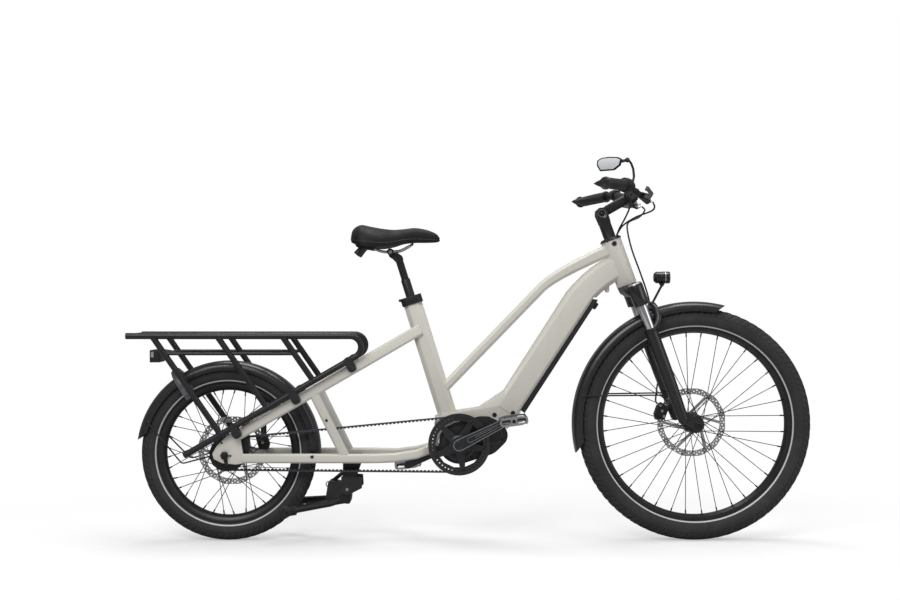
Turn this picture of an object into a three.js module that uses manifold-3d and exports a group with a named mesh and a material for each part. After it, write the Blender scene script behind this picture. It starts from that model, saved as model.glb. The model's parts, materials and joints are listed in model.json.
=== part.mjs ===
// A longtail electric cargo bicycle with a step-through frame, a toothed belt drive and a rear rack.
// Millimetres. +X points forwards, +Y to the rider's left, +Z up. The origin lies on the ground
// under the middle of the bicycle's length. Inside this file x is counted from the rear axle.
import * as THREE from "three";
import { mergeVertices } from "three/addons/utils/BufferGeometryUtils.js";
import Module from "manifold-3d";

const wasm = await Module();
wasm.setup();

// Clearances and small shared values
const gap = 0.3;
const overrun = 2;
const weld = 0.0005;

// Wheels: 26 inch in front, 20 inch behind, both with wide slick tyres
const wheelbase = 1354;
const tyreSides = 36;
const frontTyreRadius = 339.8;
const frontTyreWidth = 60;
const frontRimRadius = 279.5;
const frontRimInner = 264;
const rearTyreRadius = 255.8;
const rearTyreWidth = 56;
const rearRimRadius = 203;
const rearRimInner = 181.5;
const treadFlat = 34;
const rimWidth = 38;
const rimWall = 3;
const beadDepth = 6;
const spokeCount = 24;
const spokeRadius = 1.2;
const spokeLean = 50;
const frontHubRadius = 17;
const frontFlangeRadius = 31;
const frontFlangeSpan = 58;
const rearHubRadius = 42;
const rearFlangeRadius = 52;
const rearFlangeSpan = 60;
const flangeThickness = 7;
const spokeStagger = 2;
const frontAxleHeight = frontTyreRadius * Math.cos(Math.PI / tyreSides);
const rearAxleHeight = rearTyreRadius * Math.cos(Math.PI / tyreSides);

// Brake rotors and calipers, on the left side
const rotorRadius = 101.5;
const rotorInner = 84;
const rotorHubRadius = 27;
const rotorThickness = 2;
const rotorArmWidth = 9;
const rotorArms = 6;
const rotorHoles = 24;
const rotorHoleRadius = 3.2;
const caliperLength = 54;
const caliperDepth = 34;
const caliperWidth = 30;
const padSlot = 4;

// Axles
const frontAxleSpan = 100;
const rearAxleSpan = 138;
const axleRadius = 6;
const axleNutRadius = 12;
const axleNutDepth = 9;

// Belt drive on the right side
const beltPitch = 11;
const beltTeeth = 158;
const beltWidth = 12;
const beltBack = 1.6;
const beltRoot = 1;
const beltToothDepth = 3.6;
const beltToothBase = 6.6;
const beltToothTip = 4.2;
const frontTeeth = 46;
const rearTeeth = 26;
const beltLine = -50;
const sprocketGap = 0.35;
const ringWall = 7;
const spiderArms = 5;
const spiderArmWidth = 15;
const spiderHub = 27;
const guardRadius = 89;
const guardThickness = 3;
const guardInner = 69;
const bracketRise = 29;

// Cranks, pedals and motor
const crankLength = 170;
const crankWidth = 26;
const crankEndWidth = 21;
const crankThickness = 13;
const crankAngle = 26.5;
const crankFace = 68;
const spindleRadius = 12;
const pedalAxleRadius = 6;
const pedalLength = 80;
const pedalWidth = 84;
const pedalThickness = 26;
const pedalWall = 11;
const pedalBarrel = 11;
const motorHalfWidth = 39;
const motorBossRadius = 60;
const motorBodyRadius = 58;
const motorBodyForward = 72;
const motorBodyRise = 21;
const motorNoseRadius = 36;
const motorNoseForward = 106;
const motorNoseRise = 24;
const motorCoverDepth = 3;

// Main frame
const headAngle = 70;
const forkOffset = 44.8;
const axleToCrown = 447;
const headTubeLength = 136;
const headTubeRadius = 30;
const steererRadius = 15;
const seatAngle = 72.6;
const seatSetback = 8;
const seatTubeTop = 436;
const seatTubeFoot = 78;
const seatTubeDepth = 54;
const seatTubeWidth = 44;
const seatTubeChamfer = 13;
const postRadius = 13.5;
const postStageRadius = 11;
const topTubeDepth = 28;
const topTubeWidth = 36;
const downTubeAngle = 57;
const downTubeDepth = 73;
const downTubeWidth = 72;
const downTubeLength = 385;
const frameChamfer = 12;
const stripDepth = 12;
const batteryDepth = 60;
const batteryWidth = 54;
const batteryLength = 392;
const batteryFoot = 22;
const batteryEndGap = 7;
const cradleHalfWidth = 33;

// Rear frame
const stayOffset = 74;
const stayThickness = 17;
const upperStayHeight = 28.5;
const upperStayAngle = 30;
const upperStayRise = 35;
const chainStayHeight = 27;
const chainStayDrop = 9;
const strutWidth = 27;
const strutTop = 252;
const strutFoot = 346;
const dropoutThickness = 9;

// Rack
const rackOffset = 93;
const railRadius = 9;
const rackRailHeight = 596;
const railTail = 279;
const railBend = 359;
const bendRadius = 31.3;
const lowerRailLength = 563;
const legAngle = 55.2;
const legStarts = [-204, -19, 166];
const sideBarHeight = 546;
const sideBarRadius = 5;
const deckBarRadius = 8;
const clampWidth = 24;
const clampDrop = 34;
const clampPlaces = [25, 208, 402];

// Mudguards
const guardClearFront = 16;
const guardClearRear = 12;
const guardSkin = 2.4;
const guardSkirt = 28;
const frontGuardWidth = 72;
const rearGuardWidth = 68;
const stayWireRadius = 2.4;

// Suspension fork
const forkTravel = 50;
const legOffset = 11.5;
const legSpread = 64;
const stanchionRadius = 14;
const lowerRadius = 19;
const shoulderRadius = 22;
const shoulderDrop = 68;
const lowerTop = 139;

// Cockpit
const stemPivotHeight = 220;
const stemReach = 97;
const stemRise = 30;
const stemWidth = 36;
const stemThickness = 33;
const stemPivotRadius = 18;
const barHalfWidth = 318;
const barRadius = 11.1;
const barClampRadius = 15.9;
const gripRadius = 16;
const gripLength = 128;
const shifterRadius = 21;
const shifterLength = 26;
const leverLength = 150;
const leverReach = 46;

// Seat
const saddleLength = 256;
const saddleWidth = 190;
const seatPostUp = 62;
const seatPostStage = 62;

// Kickstand
const standPivotX = 346;
const standPivotHeight = 152;
const standLegLength = 158;
const standSpread = 116;
const standLegRadius = 11;

// Sides of round pieces
const fine = 14;
const round = 8;
const coarse = 6;
const rotorSides = 18;
const guardSides = 18;
const ringSides = 14;
const hullSides = 8;
const motorSides = 14;
const hubSides = 10;
const sideBarSides = 5;
const ribCount = 8;

// Wheel details
const beadShare = 0.83;
const rimBaseHalf = 9;
const rotorBoreGap = 4;
const rearRotorLine = 46.3;
const caliperInboard = 8;
const caliperBridge = 10;
const caliperOutFront = 16;
const caliperOutRear = 13;
const caliperLugRadius = 8;
const rearCaliperAngle = 16;
const frontCaliperAngle = 141;
const shoulderShares = [0.08, 0.55, 1];

// Drive details
const spiderThickness = 6;
const sprocketDriverRadius = 22;
const sprocketFlange = 3;
const motorCollar = 43.5;
const crankSwell = 5;
const pedalAxleShare = 0.85;
const pedalTilt = 8;
const boxForward = 56;
const boxRise = 31;
const boxLength = 26;
const boxHeight = 42;
const boxFace = 58.8;
const boxThickness = 6.4;

// Frame details
const downFootForward = 137;
const downFootRise = 94.3;
const downTubeSwell = 4;
const gooseneckLength = 150;
const gooseneckTurn = 29;
const gooseneckSteps = 5;
const gooseneckWidth = 50;
const cradleBack = 74;
const cradleFoot = 8;
const bearingGap = 2;
const latchLength = 20;
const latchDepth = 10;
const latchBack = 28;
const lugForward = 57;
const lugDrop = 8.5;
const lugRadius = 11;
const seatBoreDepth = 250;
const topTubeRoot = 154;
const topTubeRun = 336;
const topTubeAngle = 45.8;
const topTubeSweep = 40;
const topTubeSwell = 9;
const topTubeDrop = 22;
const topTubeChamfer = 8;

// Rear frame details
const stayStart = 38;
const stayBend = 390;
const stayChamfer = 5;
const dropoutLength = 52;
const stayWaist = 57;
const stayWaistX = 484;
const stayBendX = 428;
const stayNeckX = 548;
const stayNeckLean = 6;
const stayEndRise = 24;
const stayEndHalf = 24;
const dropoutShares = [
  [0.6, -0.5],
  [-0.15, -0.42],
  [-0.6, -0.2],
  [-0.68, 0.1],
  [-0.45, 0.5],
  [0.1, 1.05],
];

// Rack, lamp and lock details
const railSteps = 4;
const deckBars = 4;
const deckEdge = 12;
const deckShare = 0.42;
const tailReach = 51.4;
const tailDepth = 29;
const tailTop = 8;
const tailDrop = 28;
const tailWidth = 70;
const lockHeight = 461;
const lockSetback = 21;
const lockInner = 42;
const lockOuter = 58;
const lockArm = 40;
const lockThickness = 20;
const lockSteps = 8;

// Mudguard details
const guardEdgeShare = 0.8;
const guardHemShare = 0.25;
const guardSteps = 14;
const wireShare = 0.8;
const rearGuardFrom = -3;
const rearGuardTo = 172;
const rearWireAngle = 159;
const rearWireBend = 191.5;
const rearWireReach = 128;
const rearWireWidth = 62;
const rearWireEnd = 30;
const frontGuardFrom = 75.6;
const frontGuardTo = 193.7;
const frontWireAngle = 165.6;
const frontWireRise = 104;

// Fork details, counted along the steering axis from the foot of the head tube
const crownLength = 54;
const crownDepth = 36;
const crownHalfWidth = 60;
const crownShares = [
  [-0.41, -0.06],
  [0.44, -0.06],
  [0.56, -0.39],
  [0.59, -1],
  [-0.15, -1],
  [-0.37, -0.56],
];
const shoulderTop = 18;
const steererFoot = 4;
const socketTop = 30;
const stanchionFoot = 215;
const lowerBoreFoot = 275;
const lowerFootRise = 30;
const lowerFootShare = 0.8;
const dropoutBoss = 18;
const archRadius = 9;
const archPoints = [
  [20, 64, -150],
  [46, 58, -118],
  [48, 36, -86],
  [48, 0, -79],
];
const lampForward = 95.3;
const lampDrop = 36.3;
const lampRise = 22.5;
const lampRadius = 17.5;
const lampBack = 24;
const lampFront = 22.5;
const lampFinHalf = 3.5;
const lampFinWidth = 9;
const lampRod = 2.5;
const lampRodSpread = 6.5;
const lampPin = 2;
const lampEyeRadius = 4.2;
const lampBezelShare = 0.84;
const lampBackShare = 0.72;

// Cockpit details
const capRadius = 32;
const capShoulder = 26;
const capHeight = 9;
const capLip = 3;
const stemChamfer = 8;
const stemEarInner = 9;
const stemPin = 5;
const stemArmStart = 21;
const stemArmDepth = 28;
const stemClampRadius = 22;
const stemClampWidth = 44;
const barClampHalf = 30;
const barBends = [
  [0, 45, 0],
  [-20, 110, 13],
  [-27, 165, 19],
  [-109.3, 320, 11.2],
];
const gripStart = 200;
const gripEnd = 326;
const gripWing = 20;
const gripThinShare = 0.5;
const gripShares = [
  [0, 0],
  [0.35, 0.06],
  [0.6, 0.4],
  [0.8, 0.95],
  [0.96, 1],
  [1, 0.8],
];
const shifterStart = 173;
const shifterEnd = 199;
const shifterRib = 1.2;
const barrelStart = 146;
const barrelEnd = 165;
const barrelRadius = 19;
const clampStart = 128;
const clampEnd = 146;
const clampRadius = 17;
const leverPlace = 137;
const leverAhead = 52;
const leverBelow = 27;
const leverTilt = 25;
const leverHub = 8;
const leverHubHalf = 4.6;
const leverEar = 5;
const leverEarEnd = 9;
const leverPin = 3;
const cylinderRadius = 9;
const cylinderStart = [-34, 0, 0];
const cylinderEnd = [12, -40, -5];
const leverBlade = [
  [2, 5, 2.6, 4.4],
  [5, 22, 2.4, 5.5],
  [1, 82, 2.3, 6.5],
  [-20, 138, 2.2, 6],
  [-25, 146, 2.2, 6],
];
const mirrorClampStart = 149;
const mirrorClampEnd = 163;
const mirrorArmRadius = 4;
const mirrorArmRoute = [
  [-20, 156, 26],
  [10, 160, 46],
  [32, 163, 62],
  [36, 165, 80],
  [30, 165, 112],
  [20, 165, 126],
];
const mirrorBall = [16, 165, 127];
const mirrorBallRadius = 8;
const mirrorCentre = [-43, 140, 113];
const mirrorTurn = 40;
const mirrorWidth = 90;
const mirrorHeight = 43;
const mirrorDepth = 12;
const mirrorLip = 2.5;
const mirrorStub = 5;
const mirrorShares = [
  [-0.5, -0.05],
  [-0.36, -0.5],
  [0.2, -0.5],
  [0.44, -0.18],
  [0.5, 0.28],
  [0.36, 0.42],
  [0, 0.5],
  [-0.3, 0.46],
  [-0.48, 0.3],
];

// Seat details
const collarWidth = 52;
const collarDepth = 62;
const collarFoot = 14;
const collarTop = 10;
const lowerPostInside = 130;
const lowerPostBore = 150;
const upperPostInside = 100;
const clampBlockHalf = 18;
const clampBlockRadius = 13;
const clampHeadRadius = 10;
const clampHeadBack = 24;
const clampHeadRise = 20;
const railBoltRadius = 4;
const railBoltHalf = 31;
const railSpread = 22;
const saddleRailRadius = 3.5;
const saddleRailRoute = [
  [373, 30, 861],
  [388, 26, 854],
  [436, 22, 846],
  [500, 22, 850],
  [520, 15, 857],
  [524, 0, 859],
];
const bumperFoot = [414, 36, 838];
const bumperTop = [379, 36, 858];
const bumperRadius = 10.5;
const saddleRecess = 12;
const saddleHem = 9;
const saddleRings = 13;
const saddleArc = 12;
const saddleCrownPower = 2.6;
const saddleRows = [
  [357, 40, 888, 872],
  [363, 70, 904, 862],
  [384, 90, 916.5, 855],
  [412, 95, 912, 851],
  [446, 86, 906, 850],
  [479, 66, 903, 855],
  [508, 46, 905, 863],
  [541, 32, 908.6, 866],
  [575, 25, 903, 866],
  [602, 18, 892, 867],
  [613, 9, 880, 870],
];

// Kickstand details
const bracketFrom = 334;
const bracketTo = 386;
const bracketFace = 9;
const bracketPlate = 16;
const lugHalfFrom = 30;
const lugHalfTo = 38;
const lugPivotRadius = 13;
const standPin = 5;
const standBarrel = 13;
const standNeck = [-7, -28, 14];
const standTail = [-42, -36, 12];
const standLegRoute = [
  [-26, 22, -34],
  [-48, 40, -39],
  [-171, 95, -54],
];
const standFootRadius = 16;
const standFootLength = 30;
const springFoot = [-57, 12, 8];
const springTop = [-4, 12, 52];
const springRadius = 6;

// Hoses
const hoseRadius = 2.5;
const hoseSides = 5;
const rearHoseRoute = [
  [1226, -84, 964],
  [1219, -66, 953],
  [1180, -28, 938],
  [1146, -10, 915],
];
const shiftRoute = [
  [1150, -140, 985],
  [1152, -110, 962],
  [1146, -62, 935],
  [1136, -16, 908],
];
const frontHoseTop = [
  [1224, 84, 966],
  [1206, 72, 945],
  [1172, 60, 928],
  [1168, 47, 900],
];
const frontHoseLocal = [
  [54.7, 40, 89],
  [54.7, 40, 20],
  [55, 50, -45],
  [52, 72, -88],
  [40, 84, -130],
  [20, 87, -180],
  [11, 87, -280],
  [-10, 80, -322],
  [-28, 62, -352],
  [-30, 50, -362],
];

const frameColour = 0xc9c6b8;
const blackColour = 0x2b2b2d;
const rubberColour = 0x1c1c1d;
const darkMetal = 0x3a3b3e;
const steelColour = 0xc4c6c8;
const lensColour = 0xe9edf0;
const redLens = 0x8a1f1f;

const rad = THREE.MathUtils.degToRad;
const at = (x, y, z) => new THREE.Vector3(x, y, z);

// Section outlines, as lists of [side, up] pairs
function disc(radius, sides, start = 0) {
  const points = [];
  for (let i = 0; i < sides; i += 1) {
    const angle = start + (i * 2 * Math.PI) / sides;
    points.push([radius * Math.cos(angle), radius * Math.sin(angle)]);
  }
  return points;
}

function oval(width, height, sides) {
  return disc(0.5, sides, Math.PI / sides).map(([u, v]) => [u * width, v * height]);
}

function chamfered(width, height, chamfer) {
  const w = width / 2;
  const h = height / 2;
  return [
    [w, -h + chamfer],
    [w, h - chamfer],
    [w - chamfer, h],
    [-w + chamfer, h],
    [-w, h - chamfer],
    [-w, -h + chamfer],
    [-w + chamfer, -h],
    [w - chamfer, -h],
  ];
}

function barSection(width, height) {
  return [
    [width / 2, -height / 2],
    [width / 2, height / 2],
    [-width / 2, height / 2],
    [-width / 2, -height / 2],
  ];
}

function shapeOf(pairs) {
  const points = pairs.map(([x, y]) => new THREE.Vector2(x, y));
  return new THREE.Shape(THREE.ShapeUtils.isClockWise(points) ? points.reverse() : points);
}

// A route that the section follows from point to point
class Route extends THREE.Curve {
  constructor(points) {
    super();
    this.points = points;
  }
  getPoint(t) {
    const last = this.points.length - 1;
    const place = Math.min(Math.max(t, 0), 1) * last;
    const i = Math.min(Math.floor(place), last - 1);
    return this.points[i].clone().lerp(this.points[i + 1], place - i);
  }
  getPointAt(t) {
    return this.getPoint(t);
  }
  getTangentAt(t) {
    return this.getTangent(t);
  }
}

// Turns a closed geometry's faces outwards
function outward(geometry) {
  const bare = geometry.index ? geometry.toNonIndexed() : geometry;
  const p = bare.getAttribute("position").array;
  let volume = 0;
  for (let i = 0; i < p.length; i += 9) {
    volume += p[i] * (p[i + 4] * p[i + 8] - p[i + 5] * p[i + 7]);
    volume += p[i + 1] * (p[i + 5] * p[i + 6] - p[i + 3] * p[i + 8]);
    volume += p[i + 2] * (p[i + 3] * p[i + 7] - p[i + 4] * p[i + 6]);
  }
  if (volume < 0) {
    for (let i = 0; i < p.length; i += 9) {
      for (let k = 0; k < 3; k += 1) {
        const held = p[i + 3 + k];
        p[i + 3 + k] = p[i + 6 + k];
        p[i + 6 + k] = held;
      }
    }
  }
  const clean = new THREE.BufferGeometry();
  clean.setAttribute("position", bare.getAttribute("position"));
  return mergeVertices(clean, weld);
}

function tube(points, radius, sides = 10) {
  const section = Array.isArray(radius) ? radius : disc(radius, sides);
  const options = { steps: points.length - 1, bevelEnabled: false, extrudePath: new Route(points) };
  return outward(new THREE.ExtrudeGeometry(shapeOf(section), options));
}

// A straight bar from a to b whose section's first axis lies along side
function beam(a, b, section, side = at(0, 1, 0)) {
  const along = b.clone().sub(a);
  const length = along.length();
  along.normalize();
  const across = side.clone().addScaledVector(along, -side.dot(along)).normalize();
  const up = along.clone().cross(across);
  const options = { depth: length, bevelEnabled: false };
  const body = new THREE.ExtrudeGeometry(shapeOf(section), options);
  body.applyMatrix4(new THREE.Matrix4().makeBasis(across, up, along).setPosition(a));
  return outward(body);
}

// A round bar along y between two y values
function crossBar(x, z, fromY, toY, radius, sides) {
  return beam(at(x, fromY, z), at(x, toY, z), disc(radius, sides, Math.PI / sides), at(1, 0, 0));
}

// A plate standing in the x, z plane between two y values
function plate(outline, fromY, toY, holes = []) {
  const shape = shapeOf(outline);
  for (const hole of holes) shape.holes.push(new THREE.Path(hole.map(([x, z]) => new THREE.Vector2(x, z))));
  const body = new THREE.ExtrudeGeometry(shape, { depth: toY - fromY, bevelEnabled: false });
  body.rotateX(Math.PI / 2);
  body.translate(0, toY, 0);
  return outward(body);
}

// A turned piece on an axis along y; the profile is a list of [radius, y] pairs
function turned(profile, sides, start = Math.PI / sides) {
  const points = profile.map(([r, y]) => new THREE.Vector2(r, y));
  return outward(new THREE.LatheGeometry(points, sides, start, 2 * Math.PI));
}

// A turned piece whose axis is z; the profile is a list of [radius, z] pairs
function turnedUp(profile, sides) {
  const points = profile.map(([r, z]) => new THREE.Vector2(r, z));
  return outward(new THREE.LatheGeometry(points, sides).rotateX(Math.PI / 2));
}

function ringOf(profile, sides, start) {
  return turned([...profile, profile[0]], sides, start);
}

// A closed skin through rings of points; section is the outline of the ends where they are hollow
function loft(rings, section = null) {
  const count = rings[0].length;
  const points = rings.flat();
  const faces = [];
  for (let i = 0; i < rings.length - 1; i += 1) {
    for (let j = 0; j < count; j += 1) {
      const a = i * count + j;
      const b = i * count + ((j + 1) % count);
      faces.push(a, b, b + count, a, b + count, a + count);
    }
  }
  const last = (rings.length - 1) * count;
  for (const [a, b, c] of capFaces(count, section)) {
    faces.push(a, c, b);
    faces.push(last + a, last + b, last + c);
  }
  const body = new THREE.BufferGeometry().setFromPoints(points);
  body.setIndex(faces);
  return outward(body);
}

function capFaces(count, section) {
  const fan = [];
  for (let j = 1; j < count - 1; j += 1) fan.push([0, j, j + 1]);
  if (!section) return fan;
  const outline = section.map(([u, v]) => new THREE.Vector2(u, v));
  const faces = THREE.ShapeUtils.triangulateShape(outline, []);
  const whole = THREE.ShapeUtils.area(outline);
  return faces.map((face) => {
    const turns = THREE.ShapeUtils.area(face.map((i) => outline[i])) * whole > 0;
    return turns ? face : [...face].reverse();
  });
}

// One ring of a member that runs in or near the x, z plane
function station(x, y, z, angle, outline) {
  const up = at(-Math.sin(rad(angle)), 0, Math.cos(rad(angle)));
  return outline.map(([u, v]) => at(x, y + u, z).addScaledVector(up, v));
}

function solidOf(geometry) {
  const bare = new THREE.BufferGeometry();
  const flat = geometry.index ? geometry.toNonIndexed() : geometry;
  bare.setAttribute("position", flat.getAttribute("position"));
  const merged = mergeVertices(bare, weld);
  const mesh = new wasm.Mesh({
    numProp: 3,
    vertProperties: merged.getAttribute("position").array,
    triVerts: new Uint32Array(merged.index.array),
  });
  return new wasm.Manifold(mesh);
}

function geometryOf(solid) {
  const mesh = solid.getMesh();
  const body = new THREE.BufferGeometry();
  body.setAttribute("position", new THREE.BufferAttribute(new Float32Array(mesh.vertProperties), 3));
  body.setIndex(new THREE.BufferAttribute(new Uint32Array(mesh.triVerts), 1));
  return body;
}

const join = (...pieces) => geometryOf(pieces.map(solidOf).reduce((a, b) => a.add(b)));
const cut = (piece, ...tools) => geometryOf(tools.map(solidOf).reduce((a, b) => a.subtract(b), solidOf(piece)));

// The radius of a bore of so many sides in which a round piece can turn
const bored = (radius, sides) => (radius + gap) / Math.cos(Math.PI / sides);

function finish(colour, roughness, metalness = 0) {
  return new THREE.MeshStandardMaterial({ color: colour, roughness, metalness });
}

function add(group, name, geometry, colour, roughness = 0.5, metalness = 0) {
  const mesh = new THREE.Mesh(geometry, finish(colour, roughness, metalness));
  mesh.name = name;
  group.add(mesh);
  return mesh;
}

// Frame directions and main points
const headUp = at(-Math.cos(rad(headAngle)), 0, Math.sin(rad(headAngle)));
const headFore = at(Math.sin(rad(headAngle)), 0, Math.cos(rad(headAngle)));
const rearAxle = at(0, 0, rearAxleHeight);
const frontAxle = at(wheelbase, 0, frontAxleHeight);
const headFoot = frontAxle.clone().addScaledVector(headFore, -forkOffset).addScaledVector(headUp, axleToCrown);
const headTop = headFoot.clone().addScaledVector(headUp, headTubeLength + gap);
const frontPitchRadius = (frontTeeth * beltPitch) / (2 * Math.PI);
const rearPitchRadius = (rearTeeth * beltPitch) / (2 * Math.PI);

// The distance between the two sprockets at which the belt of whole teeth lies tight
function beltCentres() {
  const difference = frontPitchRadius - rearPitchRadius;
  let low = frontPitchRadius + rearPitchRadius;
  let high = beltTeeth * beltPitch;
  for (let i = 0; i < 60; i += 1) {
    const middle = (low + high) / 2;
    const lean = Math.asin(difference / middle);
    const straight = 2 * Math.sqrt(middle ** 2 - difference ** 2);
    const wrapped = (Math.PI + 2 * lean) * frontPitchRadius + (Math.PI - 2 * lean) * rearPitchRadius;
    if (straight + wrapped > beltTeeth * beltPitch) high = middle;
    else low = middle;
  }
  return (low + high) / 2;
}

const beltReach = beltCentres();
const bracket = at(Math.sqrt(beltReach ** 2 - bracketRise ** 2), 0, rearAxleHeight + bracketRise);
const seatUp = at(-Math.cos(rad(seatAngle)), 0, Math.sin(rad(seatAngle)));
const seatRoot = bracket.clone().add(at(-seatSetback, 0, 0));
const seatTop = seatRoot.clone().addScaledVector(seatUp, seatTubeTop);

const bike = new THREE.Group();

// Wheels. Each is built round its own axle, with the axle along y
function tyre(radius, seatRadius, width) {
  const half = width / 2;
  const centre = radius - Math.sqrt(half ** 2 - (treadFlat / 2) ** 2);
  const edge = Math.asin(treadFlat / width);
  const side = shoulderShares.map((share) => {
    const angle = Math.PI * (1 - share) * beadShare + edge * share;
    return [centre + half * Math.cos(angle), half * Math.sin(angle)];
  });
  const bead = [seatRadius + gap, rimWidth / 2 - rimWall - gap];
  const lip = [seatRadius + beadDepth + gap, bead[1]];
  const upper = [bead, lip, ...side];
  const lower = upper.map(([r, y]) => [r, -y]).reverse();
  return ringOf([...upper, ...lower], tyreSides);
}

function rim(seatRadius, inner) {
  const half = rimWidth / 2;
  const upper = [
    [inner, rimBaseHalf],
    [seatRadius + beadDepth, half],
    [seatRadius + beadDepth, half - rimWall],
    [seatRadius, half - rimWall],
  ];
  const lower = upper.map(([r, y]) => [r, -y]).reverse();
  return ringOf([...upper, ...lower], tyreSides);
}

function hubShell(shellRadius, flangeRadius, span, bossRadius, bossEnd) {
  const half = span / 2;
  const bore = bored(axleRadius, hubSides);
  return ringOf(
    [
      [bore, -half - flangeThickness],
      [bossRadius, -half - flangeThickness],
      [flangeRadius, -half],
      [flangeRadius, -half + flangeThickness],
      [shellRadius, -half + 2 * flangeThickness],
      [shellRadius, half - 2 * flangeThickness],
      [flangeRadius, half - flangeThickness],
      [flangeRadius, half],
      [bossRadius, bossEnd],
      [bore, bossEnd],
    ],
    hubSides,
  );
}

function spokes(inner, flangeRadius, span) {
  const parts = [];
  for (let i = 0; i < spokeCount; i += 1) {
    const side = i % 2 === 0 ? 1 : -1;
    const lead = i % 4 < 2 ? 1 : -1;
    const rimAngle = ((i + 0.5) * 2 * Math.PI) / spokeCount;
    const hubAngle = rimAngle + lead * rad(spokeLean);
    const hubReach = flangeRadius - flangeThickness / 2;
    const flangeY = side * (span / 2 - flangeThickness / 2) + lead * spokeStagger;
    const from = at(hubReach * Math.cos(hubAngle), flangeY, hubReach * Math.sin(hubAngle));
    const reach = inner + rimWall;
    const to = at(reach * Math.cos(rimAngle), (side * rimBaseHalf) / 2, reach * Math.sin(rimAngle));
    parts.push(beam(from, to, disc(spokeRadius, 3)));
  }
  return parts;
}

function wheel(seatRadius, inner, hub, flangeRadius, span) {
  return join(rim(seatRadius, inner), hub, ...spokes(inner, flangeRadius, span));
}

function rotor(y) {
  const windows = [];
  for (let i = 0; i < rotorArms; i += 1) {
    const middle = ((i + 0.5) * 2 * Math.PI) / rotorArms;
    const innerHalf = Math.PI / rotorArms - rotorArmWidth / rotorHubRadius / 2;
    const outerHalf = Math.PI / rotorArms - rotorArmWidth / rotorInner / 2;
    const window = [];
    for (let k = -1; k <= 1; k += 1) {
      const angle = middle + outerHalf * k;
      window.push([rotorInner * Math.cos(angle), rotorInner * Math.sin(angle)]);
    }
    for (let k = 1; k >= -1; k -= 2) {
      const angle = middle + innerHalf * k;
      window.push([rotorHubRadius * Math.cos(angle), rotorHubRadius * Math.sin(angle)]);
    }
    windows.push(window);
  }
  const bore = disc(axleRadius + rotorBoreGap, 8);
  return plate(disc(rotorRadius, rotorSides), y, y + rotorThickness, [bore, ...windows]);
}

// The caliper straddles the rotor's rim; angle is where it sits round the axle
function caliper(angle, y, outer) {
  const middle = rotorRadius - caliperDepth / 2 + caliperBridge;
  const half = caliperDepth / 2;
  const length = caliperLength / 2;
  const outline = [
    [middle - half, -length + half / 2],
    [middle + half / 2, -length],
    [middle + half, -length / 2],
    [middle + half, length / 2],
    [middle + half / 2, length],
    [middle - half, length - half / 2],
  ];
  const turn = ([x, z]) => [x * Math.cos(angle) - z * Math.sin(angle), x * Math.sin(angle) + z * Math.cos(angle)];
  const inside = y + rotorThickness / 2 - caliperInboard;
  const body = plate(outline.map(turn), inside, y + rotorThickness / 2 + outer);
  const slot = ringOf(
    [
      [rotorRadius / 2, y - padSlot / 2],
      [rotorRadius + overrun, y - padSlot / 2],
      [rotorRadius + overrun, y + rotorThickness + padSlot / 2],
      [rotorRadius / 2, y + rotorThickness + padSlot / 2],
    ],
    tyreSides,
  );
  return cut(body, slot);
}

// Mudguard skin along an arc round the axle, from one angle to another
function guard(radius, width, fromAngle, toAngle, steps) {
  const half = width / 2;
  const outer = [
    [-half, -guardSkirt],
    [-half * guardEdgeShare, -guardSkirt * guardHemShare],
    [0, 0],
    [half * guardEdgeShare, -guardSkirt * guardHemShare],
    [half, -guardSkirt],
  ];
  const inner = outer.map(([u, v]) => [u * (1 - guardSkin / half), v === -guardSkirt ? v : v - guardSkin]);
  const section = [...outer, ...inner.reverse()];
  const rings = [];
  for (let i = 0; i <= steps; i += 1) {
    const angle = rad(fromAngle + ((toAngle - fromAngle) * i) / steps);
    const ring = section.map(([u, v]) => at((radius + v) * Math.cos(angle), u, (radius + v) * Math.sin(angle)));
    rings.push(ring);
  }
  return loft(rings, section);
}

function onArc(radius, angle, y) {
  return at(radius * Math.cos(rad(angle)), y, radius * Math.sin(rad(angle)));
}

function frontWheel() {
  const group = new THREE.Group();
  group.position.copy(frontAxle);
  const bossEnd = frontFlangeSpan / 2 + flangeThickness;
  const hub = hubShell(frontHubRadius, frontFlangeRadius, frontFlangeSpan, frontHubRadius, bossEnd);
  add(group, "front_tyre", tyre(frontTyreRadius, frontRimRadius, frontTyreWidth), rubberColour, 0.85);
  const laced = wheel(frontRimRadius, frontRimInner, hub, frontFlangeRadius, frontFlangeSpan);
  add(group, "front_wheel", laced, blackColour, 0.4, 0.5);
  add(group, "front_rotor", rotor(bossEnd + gap), steelColour, 0.3, 1);
  bike.add(group);
}

function rearWheel() {
  const group = new THREE.Group();
  group.position.copy(rearAxle);
  const bossEnd = rearRotorLine - gap;
  const hub = hubShell(rearHubRadius, rearFlangeRadius, rearFlangeSpan, frontHubRadius, bossEnd);
  add(group, "rear_tyre", tyre(rearTyreRadius, rearRimRadius, rearTyreWidth), rubberColour, 0.85);
  const laced = wheel(rearRimRadius, rearRimInner, hub, rearFlangeRadius, rearFlangeSpan);
  add(group, "rear_wheel", laced, blackColour, 0.4, 0.5);
  add(group, "rear_rotor", rotor(rearRotorLine), steelColour, 0.3, 1);
  add(group, "rear_axle", rearAxleBar(), darkMetal, 0.4, 0.8);
  bike.add(group);
}

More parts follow.
